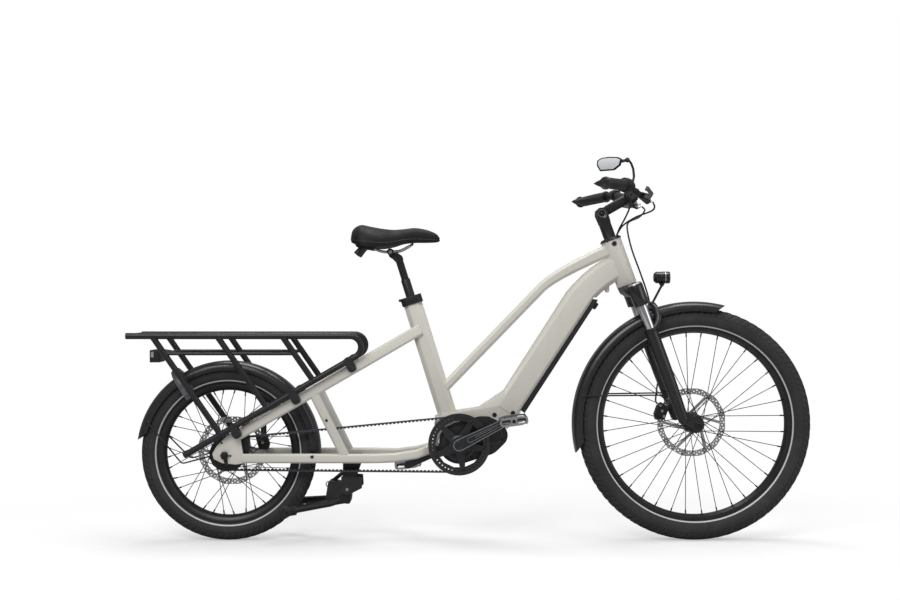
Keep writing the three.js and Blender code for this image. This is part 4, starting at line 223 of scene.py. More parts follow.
def tyre_material(name, axle, stripe, outer, blocks):
    """Black rubber with a dusty tread, painted shade in the grooves and a pale reflecting stripe on each wall.
    """
    n = Nodes(name)
    place = n.add("VectorMath", {0: n.coord, 1: axle}, operation="SUBTRACT")
    x, _, z = n.add("SeparateXYZ", {0: place.outputs[0]}).outputs
    flat = n.add("CombineXYZ", {0: x, 2: z}).outputs[0]
    radius = n.add("VectorMath", {0: flat}, operation="LENGTH").outputs["Value"]

    def ring(line, far, near):
        return n.ramp(n.math("ABSOLUTE", n.math("SUBTRACT", radius, line)), far, near)

    ground = n.mix(n.ramp(n.noise(14, 5), 0.3, 0.75), srgb(36, 36, 37), srgb(50, 50, 51))
    ground = n.mix(n.ramp(n.noise(25, 6, 0.7), 0.5, 0.9, 0, 0.18), ground, (0.16, 0.15, 0.14))
    # Painted shade: near-black lines across the tread where its grooves lie, and a dark ring round the wall,
    # stand for the shade inside the grooves.
    spin = n.math("MULTIPLY", n.math("ARCTAN2", z, x), blocks / (2 * PI))
    groove = n.math("PINGPONG", n.math("ADD", spin, n.math("MULTIPLY", radius, 45.0)), 0.5)
    cut = n.math("MULTIPLY", n.ramp(groove, 0.13, 0.05), n.ramp(radius, outer - 0.026, outer - 0.020))
    cut = n.math("MAXIMUM", cut, n.math("MULTIPLY", ring(outer - 0.024, 0.0016, 0.0006), 0.7))
    ground = n.mix(cut, ground, (0.004, 0.004, 0.004))
    band = ring(stripe, 0.0022, 0.0014)
    return n.finish(n.noise(900, 3), 0.3, 0.0003, Base_Color=n.mix(band, ground, srgb(206, 207, 208)),
                    Roughness=n.ramp(band, 0, 1, 0.74, 0.35))


def lens_material(name, colour):
    n = Nodes(name)
    ground = n.mix(n.clouds(0, 1, 40), times(colour, 0.85), colour)
    return n.finish(n.wave(90, "Z"), 0.35, 0.0005, Base_Color=ground, Roughness=0.08,
                    Transmission_Weight=0.25, IOR=1.49)


def mirror_painted_reflection():
    # Painted reflection: the glass is a pale grey that is not metal, standing in for the white studio it
    # reflects.
    n = Nodes("mirror_face")
    return n.finish(Base_Color=n.mix(n.clouds(0, 1, 20), (0.74, 0.76, 0.79), (0.8, 0.82, 0.84)),
                    Roughness=n.ramp(n.noise(70, 5), 0.4, 0.8, 0.02, 0.06), Coat_Weight=0.4,
                    Coat_Roughness=0.1)


def saddle_material():
    """A smooth synthetic cover with a fine leather grain."""
    n = Nodes("saddle_cover")
    return n.finish(n.voronoi(420), 0.35, 0.0003, Base_Color=n.mix(n.clouds(0, 1, 8, 5), srgb(10, 10, 12),
                                                                  srgb(18, 18, 20)),
                    Roughness=n.clouds(0.5, 0.64, 35, 4), Sheen_Weight=0.05, Sheen_Roughness=0.4,
                    Specular_IOR_Level=0.24)


# Coats: name, colour, roughness, metal, grain, bump, colour and share of wear, spread of colour, clear coat
PAINT = srgb(214, 211, 201)
COATS = {
    "paint": ("frame_paint", PAINT, 0.42, 0.0, 1100, 0.07, (0.33, 0.33, 0.33), 0.3, 0.035, 0.25),
    "tube_paint": ("frame_paint_plain", PAINT, 0.42, 0.0, 1100, 0.07, (0.5, 0.5, 0.5), 0.0, 0.035, 0.25),
    "black": ("black_metal", srgb(29, 29, 31), 0.36, 0.1, 1200, 0.06, (0.18, 0.18, 0.19), 0.3, 0.12),
    "fork": ("fork_black", srgb(27, 27, 29), 0.34, 0.05, 1300, 0.1, (0.2, 0.2, 0.21), 0.4, 0.1, 0.2),
    "dark": ("alloy_dark", srgb(50, 51, 54), 0.32, 0.5, 1200, 0.12, (0.4, 0.4, 0.41), 0.6, 0.12),
    "arm": ("arm_alloy", srgb(104, 105, 108), 0.34, 0.45, 1200, 0.12, (0.6, 0.6, 0.61), 0.6, 0.12),
    "axle": ("dark_steel", srgb(38, 38, 40), 0.4, 0.5, 900, 0.15, (0.4, 0.4, 0.4), 0.6, 0.15),
    "motor": ("motor_case", srgb(36, 36, 38), 0.5, 0.1, 700, 0.3, (0.25, 0.25, 0.26), 0.4, 0.12),
    "guard": ("guard_black", srgb(26, 26, 28), 0.3, 0.0, 900, 0.1, (0.14, 0.14, 0.14), 0.3, 0.1, 0.3),
    "gloss": ("gloss_black", srgb(20, 20, 22), 0.16, 0.0, 900, 0.05, (0.2, 0.2, 0.2), 0.3, 0.08, 0.5),
}
M = {key: coat(*row) for key, row in COATS.items()}
M.update({
    "steel": brushed("rotor_steel", (0.56, 0.56, 0.57)),
    "silver": brushed("silver_parts", (0.5, 0.5, 0.51), 0.34, (60, 900, 60)),
    "chrome": brushed("stanchion_chrome", (0.72, 0.72, 0.74), 0.12, (30, 30, 500)),
    "plastic": moulded("black_plastic", srgb(30, 30, 32), 0.45),
    "battery": moulded("battery_case", srgb(27, 27, 29), 0.55, 500, 0.3),
    "belt": rubber("belt_rubber", srgb(46, 52, 62), 0.6),
    "grip": rubber("grip_rubber", srgb(28, 28, 30), 0.6, dots=True),
    "hose": rubber("hose_rubber", srgb(22, 22, 24), 0.4),
    "tyre_front": tyre_material("tyre_front", FRONT, 0.2842, 0.3384, 112),
    "tyre_rear": tyre_material("tyre_rear", REAR, 0.2102, 0.2547, 84),
    "lens": lens_material("clear_lens", (0.72, 0.75, 0.78)),
    "red_lens": lens_material("red_lens", (0.3, 0.012, 0.012)),
    "pale_lens": lens_material("pale_lens", (0.62, 0.6, 0.58)),
    "mirror": mirror_painted_reflection(),
    "saddle": saddle_material(),
})


# Mesh help
def new_object(name, verts, faces, mat, smooth=True):
    mesh = bpy.data.meshes.new(name)
    mesh.from_pydata([tuple(v) for v in verts], [], faces)
    mesh.validate()
    mesh.update()
    obj = bpy.data.objects.new(name, mesh)
    bpy.context.scene.collection.objects.link(obj)
    mesh.materials.append(mat)
    for p in mesh.polygons:
        p.use_smooth = smooth
    bm = bmesh.new()
    bm.from_mesh(mesh)
    bmesh.ops.recalc_face_normals(bm, faces=bm.faces)
    bm.to_mesh(mesh)
    bm.free()
    return obj


def smooth_group():
    """Shades smooth wherever two faces meet under an angle."""
    tree = bpy.data.node_groups.new("smooth_by_angle", "GeometryNodeTree")
    tree.interface.new_socket("Geometry", in_out="INPUT", socket_type="NodeSocketGeometry")
    angle = tree.interface.new_socket("Angle", in_out="INPUT", socket_type="NodeSocketFloat")
    angle.default_value = 0.7
    tree.interface.new_socket("Geometry", in_out="OUTPUT", socket_type="NodeSocketGeometry")
    start, face, edge, edge_angle, less, end = [tree.nodes.new(kind) for kind in (
        "NodeGroupInput", "GeometryNodeSetShadeSmooth", "GeometryNodeSetShadeSmooth",
        "GeometryNodeInputMeshEdgeAngle", "FunctionNodeCompare", "NodeGroupOutput")]
    face.domain, edge.domain = "FACE", "EDGE"
    less.data_type, less.operation = "FLOAT", "LESS_EQUAL"
    for a, b in ((start.outputs[0], face.inputs["Geometry"]), (face.outputs[0], edge.inputs["Geometry"]),
                 (edge_angle.outputs["Unsigned Angle"], less.inputs[0]), (start.outputs[1], less.inputs[1]),
                 (less.outputs[0], edge.inputs["Shade Smooth"]), (edge.outputs[0], end.inputs[0])):
        tree.links.new(a, b)
    return tree, angle.identifier


SMOOTH, ANGLE = smooth_group()


def shade(obj, degrees):
    mod = obj.modifiers.new("shade", "NODES")
    mod.node_group = SMOOTH
    mod[ANGLE] = math.radians(degrees)


def rounded(obj, width, segments=2, least=35):
    mod = obj.modifiers.new("round", "BEVEL")
    mod.width = width / 1000
    mod.segments = segments
    mod.limit_method = "ANGLE"
    mod.angle_limit = math.radians(least)
    return mod


def gather(pieces):
    """Several lists of vertices and faces as one."""
    verts, faces = [], []
    for v, f in pieces:
        base = len(verts)
        verts += list(v)
        faces += [tuple(i + base for i in face) for face in f]
    return verts, faces


def show(name, pieces, mat, body, slot_name, *nodes, round_by=0.0, segments=2, degrees=40, shade_first=False):
    """Makes one visible piece that rides a body, in place of the nodes named."""
    obj = new_object(name, *gather(pieces), M[mat])
    if shade_first:
        shade(obj, degrees)
    if round_by:
        rounded(obj, round_by, segments)
    if not shade_first:
        shade(obj, degrees)
    if nodes:
        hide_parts(*nodes)
    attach(obj, body)
    return obj


def refined(node, mat, width):
    """A copy of a rigid node with clean faces and rounded edges, shown in its place."""
    source = frame["nodes"][node]
    mesh = source.data.copy()
    mesh.transform(source.matrix_world)
    bm = bmesh.new()
    bm.from_mesh(mesh)
    bmesh.ops.remove_doubles(bm, verts=bm.verts, dist=1e-6)
    bmesh.ops.dissolve_limit(bm, angle_limit=math.radians(0.6), verts=bm.verts, edges=bm.edges)
    bm.to_mesh(mesh)
    bm.free()
    obj = bpy.data.objects.new("v_" + node, mesh)
    bpy.context.scene.collection.objects.link(obj)
    mesh.materials.clear()
    mesh.materials.append(mat)
    for p in mesh.polygons:
        p.material_index = 0
    if width:
        mod = rounded(obj, width, least=28)
        mod.use_clamp_overlap = True
        mod.miter_outer = "MITER_ARC"
    shade(obj, 42)
    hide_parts(node)
    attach(obj, BODY.get(node, "frame"))
    return obj


def quads(rows, count, wrap=False):
    """Faces between neighbouring rows of points; wrap joins the last row to the first."""
    faces = []
    for i in range(rows if wrap else rows - 1):
        k = (i + 1) % rows
        for j in range(count):
            m = (j + 1) % count
            faces.append((i * count + j, i * count + m, k * count + m, k * count + j))
    return faces


def capped(rows, count):
    """The same, with a flat face over each end."""
    return quads(rows, count) + [tuple(range(count))[::-1], tuple(range((rows - 1) * count, rows * count))]


def revolve(profile, centre, steps):
    """A closed profile of (radius, y) turned round an axle."""
    verts = [around(centre, r, a, y) for a in turn(steps) for r, y in profile]
    return verts, quads(steps, len(profile), True)


def turned(profile, start, along, sides=48):
    """A profile of (distance, radius) turned round the line from start in the direction along."""
    ray = V(along).normalized()
    one = ray.orthogonal().normalized()
    two = ray.cross(one)
    verts = [V(start) + ray * (d / 1000) + (one * math.cos(a) + two * math.sin(a)) * (r / 1000)
             for d, r in profile for a in turn(sides)]
    return verts, capped(len(profile), sides)


def outwards(profile, place, side, sides=48, out=0.0):
    """A profile turned away from the bicycle's middle, from a distance out of a place."""
    return turned(profile, place + mm(0, side * out, 0), (0, side, 0), sides)


def spline(points, steps):
    """Points along a smooth curve through the given ones."""
    pts = [V(p) for p in points]
    ext = [pts[0] * 2 - pts[1]] + pts + [pts[-1] * 2 - pts[-2]]
    out = []
    spans = len(pts) - 1
    for i in range(steps + 1):
        t = i * spans / steps
        k = min(int(t), spans - 1)
        u = t - k
        a, b, c, d = ext[k:k + 4]
        out.append(0.5 * ((2 * b) + (c - a) * u + (2 * a - 5 * b + 4 * c - d) * u * u
                          + (3 * b - a - 3 * c + d) * u ** 3))
    return out


def mirrored(half, steps):
    """A smooth curve through places on the left and their mirror images; the last one lies in the middle."""
    return spline([V((p.x, -p.y, p.z)) for p in half[:-1]] + half[::-1], steps)


def tube(points, radius, sides=16):
    """A round tube; the radius is one value or a list with one for each point."""
    count = len(points)
    radii = radius if isinstance(radius, list) else [radius] * count
    tangent = (points[1] - points[0]).normalized()
    side = tangent.orthogonal().normalized()
    if abs(tangent.y) < 0.9:
        side = (V((0, 1, 0)) - tangent * tangent.y).normalized()
    verts = []
    for i, p in enumerate(points):
        t = (points[min(i + 1, count - 1)] - points[max(i - 1, 0)]).normalized()
        side = (side - t * side.dot(t)).normalized()
        up = t.cross(side)
        r = radii[i] / 1000
        verts += [p + side * (r * math.cos(a)) + up * (r * math.sin(a)) for a in turn(sides)]
    return verts, capped(count, sides)


def rod(a, b, radius, sides=10):
    return tube([a, b], radius, sides)


def pin(place, side, inner, outer, radius, sides):
    """A rod along y between two distances from a place."""
    return rod(place + mm(0, side * inner, 0), place + mm(0, side * outer, 0), radius, sides)


def circle(x, z, r, n):
    return [(x + r * math.cos(a), z + r * math.sin(a)) for a in turn(n)]


def hull(circles, steps=48):
    """The outline round several circles, each given as (x, z, radius)."""
    points = sorted(p for x, z, r in circles for p in circle(x, z, r, steps))

    def half(items):
        kept = []
        for p in items:
            while len(kept) > 1 and ((kept[-1][0] - kept[-2][0]) * (p[1] - kept[-2][1])
                                     - (kept[-1][1] - kept[-2][1]) * (p[0] - kept[-2][0])) <= 0:
                kept.pop()
            kept.append(p)
        return kept[:-1]

    return half(points) + half(points[::-1])


def slab(centre, outlines, y0, y1):
    """A flat plate with holes: outlines are closed lists of (x, z) about the centre."""
    curve = bpy.data.curves.new("plate", "CURVE")
    curve.dimensions = "2D"
    curve.fill_mode = "BOTH"
    curve.extrude = abs(y1 - y0) / 2000
    for line in outlines:
        s = curve.splines.new("POLY")
        s.points.add(len(line) - 1)
        for p, (x, z) in zip(s.points, line):
            p.co = (x / 1000, z / 1000, 0, 1)
        s.use_cyclic_u = True
    obj = bpy.data.objects.new("plate", curve)
    bpy.context.scene.collection.objects.link(obj)
    bpy.context.view_layer.update()
    mesh = bpy.data.meshes.new_from_object(obj.evaluated_get(bpy.context.evaluated_depsgraph_get()))
    middle = (y0 + y1) / 2000
    verts = [centre + V((v.co.x, middle - v.co.z, v.co.y)) for v in mesh.vertices]
    faces = [tuple(p.vertices) for p in mesh.polygons]
    bpy.data.objects.remove(obj)
    bpy.data.curves.remove(curve)
    return verts, faces


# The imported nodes: material, slot and width of the rounded edges; a name that ends in _ has two sides
FINISH = {
    "main_tube": ("paint", "frame_paint", 4), "top_tube": ("tube_paint", "frame_paint", 0),
    "seat_tube": ("paint", "frame_paint", 3), "seat_stay_": ("paint", "frame_paint", 2.5),
    "chain_stay_": ("paint", "frame_paint", 2), "rack_deck": ("black", "black_metal", 0.8),
    "tail_light": ("plastic", "black_plastic", 2), "ring_lock": ("arm", "black_plastic", 2),
    "rear_caliper": ("axle", "dark_steel", 1.5), "rear_axle": ("axle", "dark_steel", 0.8),
    "seat_collar": ("black", "black_metal", 1), "kickstand_bracket": ("axle", "dark_steel", 1.5),
    "kickstand": ("axle", "dark_steel", 2), "rear_sprocket": ("axle", "dark_steel", 0.4),
    "chainring": ("axle", "dark_steel", 0.4), "battery": ("battery", "black_plastic", 3),
    "fork_crown": ("fork", "black_metal", 2), "stem_post": ("black", "black_metal", 2),
    "stanchion_": ("chrome", "chrome", 0.5), "front_caliper": ("axle", "dark_steel", 1.5),
    "headlight_lens": ("lens", "clear_lens", 0.6), "stem_arm": ("black", "black_metal", 2),
    "handlebar": ("black", "black_metal", 0.6), "brake_clamp_": ("black", "black_metal", 1),
    "brake_lever_": ("arm", "silver_plastic", 1), "twist_shifter": ("grip", "soft_rubber", 0.8),
    "mirror_arm": ("plastic", "black_plastic", 0.6), "mirror_housing": ("plastic", "black_plastic", 1.2),
    "seatpost_lower": ("black", "black_metal", 0.5), "seatpost_upper": ("black", "black_metal", 0.8),
    "grip_": ("grip", "soft_rubber", 1), "belt": ("belt", "soft_rubber", 0),
}
PIECES = {}
for key, (material, slot_name, edge_width) in FINISH.items():
    for node_name in [key + name for _, name in SIDES] if key.endswith("_") else [key]:
        PIECES[node_name] = refined(node_name, M[material], edge_width)

# The seat stays stand a little higher in the photograph than in the solids
RAIL_SLOPE = PI / 6
RAIL_UP = V((-math.sin(RAIL_SLOPE), 0, math.cos(RAIL_SLOPE)))
RAIL_BACK = V((-math.cos(RAIL_SLOPE), 0, -math.sin(RAIL_SLOPE)))
STAY_RAISE = 0.0034
for _, name in SIDES:
    for v in PIECES["seat_stay_" + name].data.vertices:
        from_axle = v.co - REAR - mm(0, 0, 35)
        if from_axle.dot(RAIL_UP) > 0.004 and from_axle.x > 0.06:
            v.co += RAIL_UP * STAY_RAISE


# Wheels
CASING_DROP, CROWN_POWER, WALL_POWER = 1.6, 0.72, 0.92
# Rows of the tread: place across, width, share of the pitch, phase
TREAD = [(0, 11, 0.62, 0), (14.5, 8.5, 0.55, 0.5), (-14.5, 8.5, 0.55, 0.5),
         (23.5, 5.5, 0.4, 0), (-23.5, 5.5, 0.4, 0)]
BLOCK_EDGE = [0, 1, 2, 5, 8, 7, 6, 3]
BLOCK_FACES = [(p, p + 1, p + 4, p + 3) for p in (9, 10, 12, 13)]
BLOCK_FACES += [(b, c, c + 9, b + 9) for b, c in zip(BLOCK_EDGE, BLOCK_EDGE[1:] + BLOCK_EDGE[:1])]


def tyre(name, centre, radius, width, inner, blocks):
    """Tyre with a smooth casing and rows of shallow tread blocks set on it."""
    half = width / 2

    def crown(height, c):
        return inner + height * 0.42 + height * 0.58 * c ** CROWN_POWER

    height = radius - CASING_DROP - inner
    line = []
    for k in range(25):
        a = -PI / 2 + PI * k / 24
        s = math.sin(a)
        line.append((crown(height, math.cos(a)), half * abs(s) ** WALL_POWER * (1 if s > 0 else -1)))
    walls = [(inner + height * 0.24, half * 0.93), (inner + height * 0.1, half * 0.72), (inner, half * 0.6),
             (inner - 1.5, half * 0.5)]
    pieces = [revolve([(r, -y) for r, y in reversed(walls)] + line + walls, centre, 160)]
    for y0, wide, share, phase in TREAD:
        span = 2 * PI / blocks * share
        skew = 0.25 * span * (1 if y0 > 0 else -1 if y0 < 0 else 0)
        for i in range(blocks):
            a0 = 2 * PI * (i + phase) / blocks
            v = []
            for lift in (-2, 1.5):
                for j in range(3):
                    y = y0 + wide / 2 * (j - 1)
                    s = min(1.0, abs(y) / half) ** (1 / WALL_POWER)
                    top = crown(radius - inner, math.sqrt(max(0.0, 1 - s * s))) - CASING_DROP
                    r, a = min(top + lift, radius), a0 + skew * (j - 1)
                    v += [around(centre, r, a + span * k / 2, y) for k in range(3)]
            pieces.append((v, BLOCK_FACES))
    show("casing_" + name, pieces, "tyre_" + name, name + "_wheel_body", None, name + "_tyre")


SPOKE_COUNT, SPOKE_LEAN, SPOKE_INSET = 36, math.radians(54), 3.5
SPOKE_R, SPOKE_HEAD_R, NIPPLE_R, NIPPLE_LENGTH = 1.1, 1.7, 2.1, 13


def spokes(centre, inner, flange, span):
    """Crossed wires with their heads at the hub, and the nipples at the rim."""
    wires, nipples = [], []
    for i in range(SPOKE_COUNT):
        side = 1 if i % 2 == 0 else -1
        lead = 1 if i % 4 < 2 else -1
        rim_angle = (i + 0.5) * 2 * PI / SPOKE_COUNT
        a = around(centre, flange - SPOKE_INSET, rim_angle + lead * SPOKE_LEAN,
                   side * (span / 2 - SPOKE_INSET) + lead * 2 * SPOKE_R)
        b = around(centre, inner + 2, rim_angle, side * 5)
        wires += [rod(a, b, SPOKE_R, 8), pin(a, side, -3, 1.2, SPOKE_HEAD_R, 8)]
        nipples.append(rod(b - (b - a).normalized() * (NIPPLE_LENGTH / 1000), b, NIPPLE_R, 8))
    return wires, nipples


RIM_HALF, HUB_BOSS, HUB_BORE = 19, 17, 6.6


def wheel(name, centre, seat, inner, shell, flange, span, boss_end):
    """Deep box rim with hooked edges, hub, spokes and nipples."""
    look = (name + "_wheel_body", "black_metal", name + "_wheel")
    h = RIM_HALF
    seat -= 0.2
    rim = [(seat, h - 1.5), (seat - 1.2, h), (seat - 9, h - 0.8), (inner + 4, h * 0.62),
           (inner + 0.8, h * 0.4), (inner, h * 0.2)]
    hooks = [(seat - 0.4, h - 4), (seat - 6, h - 6)]
    section = [(r, -y) for r, y in rim] + rim[::-1] + hooks + [(r, -y) for r, y in hooks[::-1]]
    show("rim_" + name, [revolve(section, centre, 144)], "black", *look)
    half = span / 2
    hub = [(HUB_BORE, -boss_end), (HUB_BOSS, -boss_end), (HUB_BOSS, -half - 0.5), (flange - 1, -half),
           (flange, -half + 1), (flange, -half + 4), (flange - 1, -half + 5.5), (shell + 3, -half + 7.5),
           (shell, -half + 12)]
    hub += [(shell, 0)] + [(r, -y) for r, y in hub[::-1]]
    show("hub_" + name, [revolve(hub, centre, 64)], "dark", *look, degrees=35)
    wires, nipples = spokes(centre, inner, flange, span)
    show("spokes_" + name, wires, "axle", *look, degrees=50)
    show("nipples_" + name, nipples, "dark", *look, degrees=50)


# Rows of holes in a rotor: radius of the row, shift, radius of a hole and its sides
ROTOR_HOLES = [(95.7, 0, 2.3, 10), (91.2, PI / 36, 2.1, 10), (87.2, 0, 1.4, 8)]
ROTOR_THICK, ROTOR_BORE, ROTOR_BOLTS, ROTOR_BOLT_R = 2, 10.8, 22.5, 4.2
ARM_WIDE, ARM_NARROW, ARM_SLANT = 12.5, 8.5, 0.55


def rotor(name, centre, y0):
    """Braking ring with three rows of holes on six slanted arms, and a bolted centre."""
    look = (name + "_wheel_body", "steel", name + "_rotor")
    outer, inner, hub = 101.3, 83.5, 31
    lines = [[polar(outer - 0.9 * (1 + math.cos(12 * a)), a) for a in turn(180)]]
    for a in turn(36):
        lines += [circle(*polar(r, a + shift), hole, n) for r, shift, hole, n in ROTOR_HOLES]
    for i in range(6):
        middle = (i + 0.5) * PI / 3
        far, near = [PI / 6 - arm / r / 2 for arm, r in ((ARM_NARROW, inner), (ARM_WIDE, hub))]
        lines.append([polar(inner, middle + far * (k / 4 - 1)) for k in range(9)]
                     + [polar(hub, middle + ARM_SLANT + near * (1 - k / 4)) for k in range(9)])
    lines.append(circle(0, 0, ROTOR_BORE, 32))
    show("disc_" + name, [slab(centre, lines, y0, y0 + ROTOR_THICK)], "steel", *look, degrees=30)
    bolts = [pin(around(centre, ROTOR_BOLTS, (i + 0.2) * PI / 3), 1, y0 - 0.2, y0 + 4.2, ROTOR_BOLT_R, 16)
             for i in range(6)]
    show("bolts_" + name, bolts, "dark", *look, round_by=0.6, degrees=50, shade_first=True)


tyre("front", FRONT, 338.4, 60, 279.7, 76)
tyre("rear", REAR, 254.7, 56, 203.2, 58)
wheel("front", FRONT, 279.5, 264, 17, 25.5, 58, 36)
wheel("rear", REAR, 203, 181.5, 42, 52, 60, 46)
rotor("front", FRONT, 36.3)
rotor("rear", REAR, 46.3)


# Rack
LEG_SLOPE = math.tan(math.radians(55.2))
LEG_TOPS = (-204, -19, 166)
RAIL_Y, RAIL_Z, RAIL_BEND_X, RAIL_BEND = 93, 596, 359, 31.3
LOWER_RAIL = 0.5628
RAIL_R, LEG_R, CROSS_R, CROSS_DROP = 9, 8.7, 5, 50
CLAMP_INNER, CLAMP_OUTER = 82.8, 103.6
# Outline of a clamp: distance back along the rail and distance up from it
CLAMP = [(-12 * math.cos(PI * k / 8), 3.5 + 7.5 * math.sin(PI * k / 8)) for k in range(9)]
CLAMP += [(12, -24), (9.6, -31), (4.8, -34), (-4.8, -34), (-9.6, -31), (-12, -24)]


def rack_side(side, name):
    """A bent rail with its stoppers, three legs, the bar across them, and the bolted clamps."""
    node = "rack_side_" + name
    y, z = side * RAIL_Y, RAIL_Z
    route = [at(-277, y, z), at(RAIL_BEND_X, y, z)]
    for i in range(1, 25):
        a = PI / 2 - (PI - RAIL_SLOPE) * i / 24
        route.append(at(RAIL_BEND_X + RAIL_BEND * math.cos(a), y, z - RAIL_BEND + RAIL_BEND * math.sin(a)))
    start = route[-1]
    end = start + RAIL_BACK * LOWER_RAIL
    pieces = [tube(route + [end], RAIL_R, 24),
              tube([at(x, y, z) for x in (-279, -278.2, -276)], [6.8, 8.8, 9.2], 24),
              tube([end - RAIL_BACK * 0.003, end, end + RAIL_BACK * 0.0012], [9.2, 8.6, 6], 24)]
    slope = math.tan(RAIL_SLOPE)
    for x in LEG_TOPS:
        top = at(x, y, z)
        run = (top.z - start.z - (top.x - start.x) * slope) / (LEG_SLOPE + slope)
        pieces.append(rod(top, top + V((run, 0, -run * LEG_SLOPE)), LEG_R, 20))
    ends = [at(x + CROSS_DROP / LEG_SLOPE, y, z - CROSS_DROP) for x in (LEG_TOPS[0], LEG_TOPS[2])]
    pieces.append(rod(*ends, CROSS_R, 14))
    if side < 0:
        pieces.append(rod(ends[0], V((ends[0].x, 0.0837, ends[0].z)), CROSS_R, 14))
    show("rails_" + node, pieces, "black", "frame", "black_metal", node)
    blocks, bolts = [], []
    for place in (25, 208, 402):
        middle = start + RAIL_BACK * (place / 1000)
        middle.y = 0
        line = [RAIL_BACK * back + RAIL_UP * up for back, up in CLAMP]
        blocks.append(slab(middle, [[(p.x, p.z) for p in line]], side * CLAMP_INNER, side * CLAMP_OUTER))
        bolt = middle - RAIL_UP * 0.0235
        bolts.append(pin(bolt, side, CLAMP_OUTER - 1, CLAMP_OUTER + 2.2, 6.2, 24))
        bolts.append(pin(bolt, side, CLAMP_OUTER, CLAMP_OUTER + 3, 3.8, 6))
    show("clamps_" + node, blocks, "plastic", "frame", "black_metal", node, round_by=1.2, shade_first=True)
    show("bolts_" + node, bolts, "dark", "frame", "black_metal", node, round_by=0.5, shade_first=True)


for side, name in SIDES:
    rack_side(side, name)


# Saddle: rows of x, half width, top and underside
ROWS = [(357, 40, 888, 872), (363, 70, 904, 862), (384, 90, 916.5, 855), (412, 95, 912, 851),
        (446, 86, 906, 850), (479, 66, 903, 855), (508, 46, 905, 863), (541, 32, 908.6, 866),
        (575, 25, 903, 866), (602, 18, 892, 867), (613, 9, 880, 870)]


def saddle():
    upper = spline([(x, half, top) for x, half, top, low in ROWS], 60)
    lower = spline([(x, 0, low) for x, half, top, low in ROWS], 60)
    across, under, power, seam_at = 40, 8, 2.9, 0.985
    verts, seams = [], [[], []]
    for (x, half, top), (_, _, low) in zip(upper, lower):
        furrow = 1.6 * max(0.0, math.sin(PI * min(1, max(0, (x - 400) / 170))))
        for j in range(across + 1):
            c = math.cos(PI * j / across)
            rise = math.sqrt(max(0.0, 1 - abs(c) ** power))
            verts.append(at(x, half * c, low + (top - low) * rise - furrow * math.exp(-(c / 0.16) ** 2)))
        depth = min(7.0, (top - low) * 0.45)
        for j in range(1, under):
            a = PI * j / under
            verts.append(at(x, half * 0.93 * -math.cos(a), low + depth * math.sin(a) ** 0.5))
        for seam, sign in zip(seams, (1, -1)):
            seam.append(at(x, sign * half * seam_at, low + (top - low) * math.sqrt(1 - seam_at ** power)))
    rows, count = len(upper), across + under
    faces = quads(rows, count) + [tuple(range(count)), tuple(range((rows - 1) * count, rows * count))[::-1]]
    cushion = show("saddle_cushion", [(verts, faces)], "saddle", "seat", "saddle_cover", "saddle", degrees=60)
    path = seams[0] + seams[1][::-1]
    piping = tube(path + path[:1], 1.1, 8)
    show("saddle_piping", [piping], "hose", "seat", "saddle_cover", "saddle", degrees=50)


saddle()


# Hoses
HOSE_R, HOSE_STEPS, FRONT_HOSE_CUT = 2.5, 96, 42


def hose(name, node, points, *spans):
    """A hose in lengths that each cross one joint; a span is its last point and its two bodies, which are not
    used.
    """
    line = spline(points, HOSE_STEPS)
    first = 0
    for i, (last, a, b) in enumerate(spans, 1):
        part = line[first:last + 1]
        piece = new_object(f"{name}_{i}", *tube(part, HOSE_R, 12), M["hose"])
        shade(piece, 50)
        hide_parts(node)
        tuple(part[0])
        tuple(part[-1])
        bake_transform(piece)
        first = last


hose("rear_brake_hose", "brake_hose_rear",
     [at(1219, -96, 977), at(1226, -84, 964), at(1219, -66, 953), at(1180, -28, 938), at(1146, -10, 915),
      steer(21.5, 3.75, 146)], (HOSE_STEPS, "bars", "steering"))
hose("shift_hose", "shift_cable",
     [at(1149, -158, 993), at(1150, -140, 985), at(1152, -110, 962), at(1146, -62, 935), at(1136, -16, 908),
      steer(21.5, -3.75, 146)], (HOSE_STEPS, "bars", "steering"))
hose("front_brake_hose", "brake_hose_front",
     [at(1218, 96, 978), at(1224, 84, 966), at(1206, 72, 945), at(1172, 60, 928), at(1168, 47, 900),
      steer(54.7, 40, 89), steer(54.7, 40, 20), steer(55, 50, -45), steer(52, 72, -88), steer(40, 84, -130),
      steer(20, 87, -180), steer(11, 87, -280), steer(-10, 80, -322), steer(-28, 62, -352),
      steer(-30, 50, -362)],
     (FRONT_HOSE_CUT, "bars", "steering"), (HOSE_STEPS, "steering", "fork_slider"))


# Mudguards
SKIRT, SKIN, END_SLANT, GUARD_WIRE_R = 28, 2.4, 30, 2.2
GUARD_POWER, GUARD_ACROSS, GUARD_ALONG = 2.8, 28, 110
CLIP = [(0, 4), (1, 5), (4, 5), (5, 3.5)]


def guard_section(half):
    outer, inner = [], []
    for i in range(GUARD_ACROSS + 1):
        a = PI - PI * i / GUARD_ACROSS
        c, s = math.cos(a), math.sin(a)
        u = abs(c) ** (2 / GUARD_POWER) * (1 if c > 0 else -1)
        drop = (abs(s) ** (2 / GUARD_POWER) - 1) * SKIRT
        outer.append((u * half, drop))
        inner.append((u * (half - SKIN), max(drop - SKIN, -SKIRT)))
    return outer + inner[::-1]


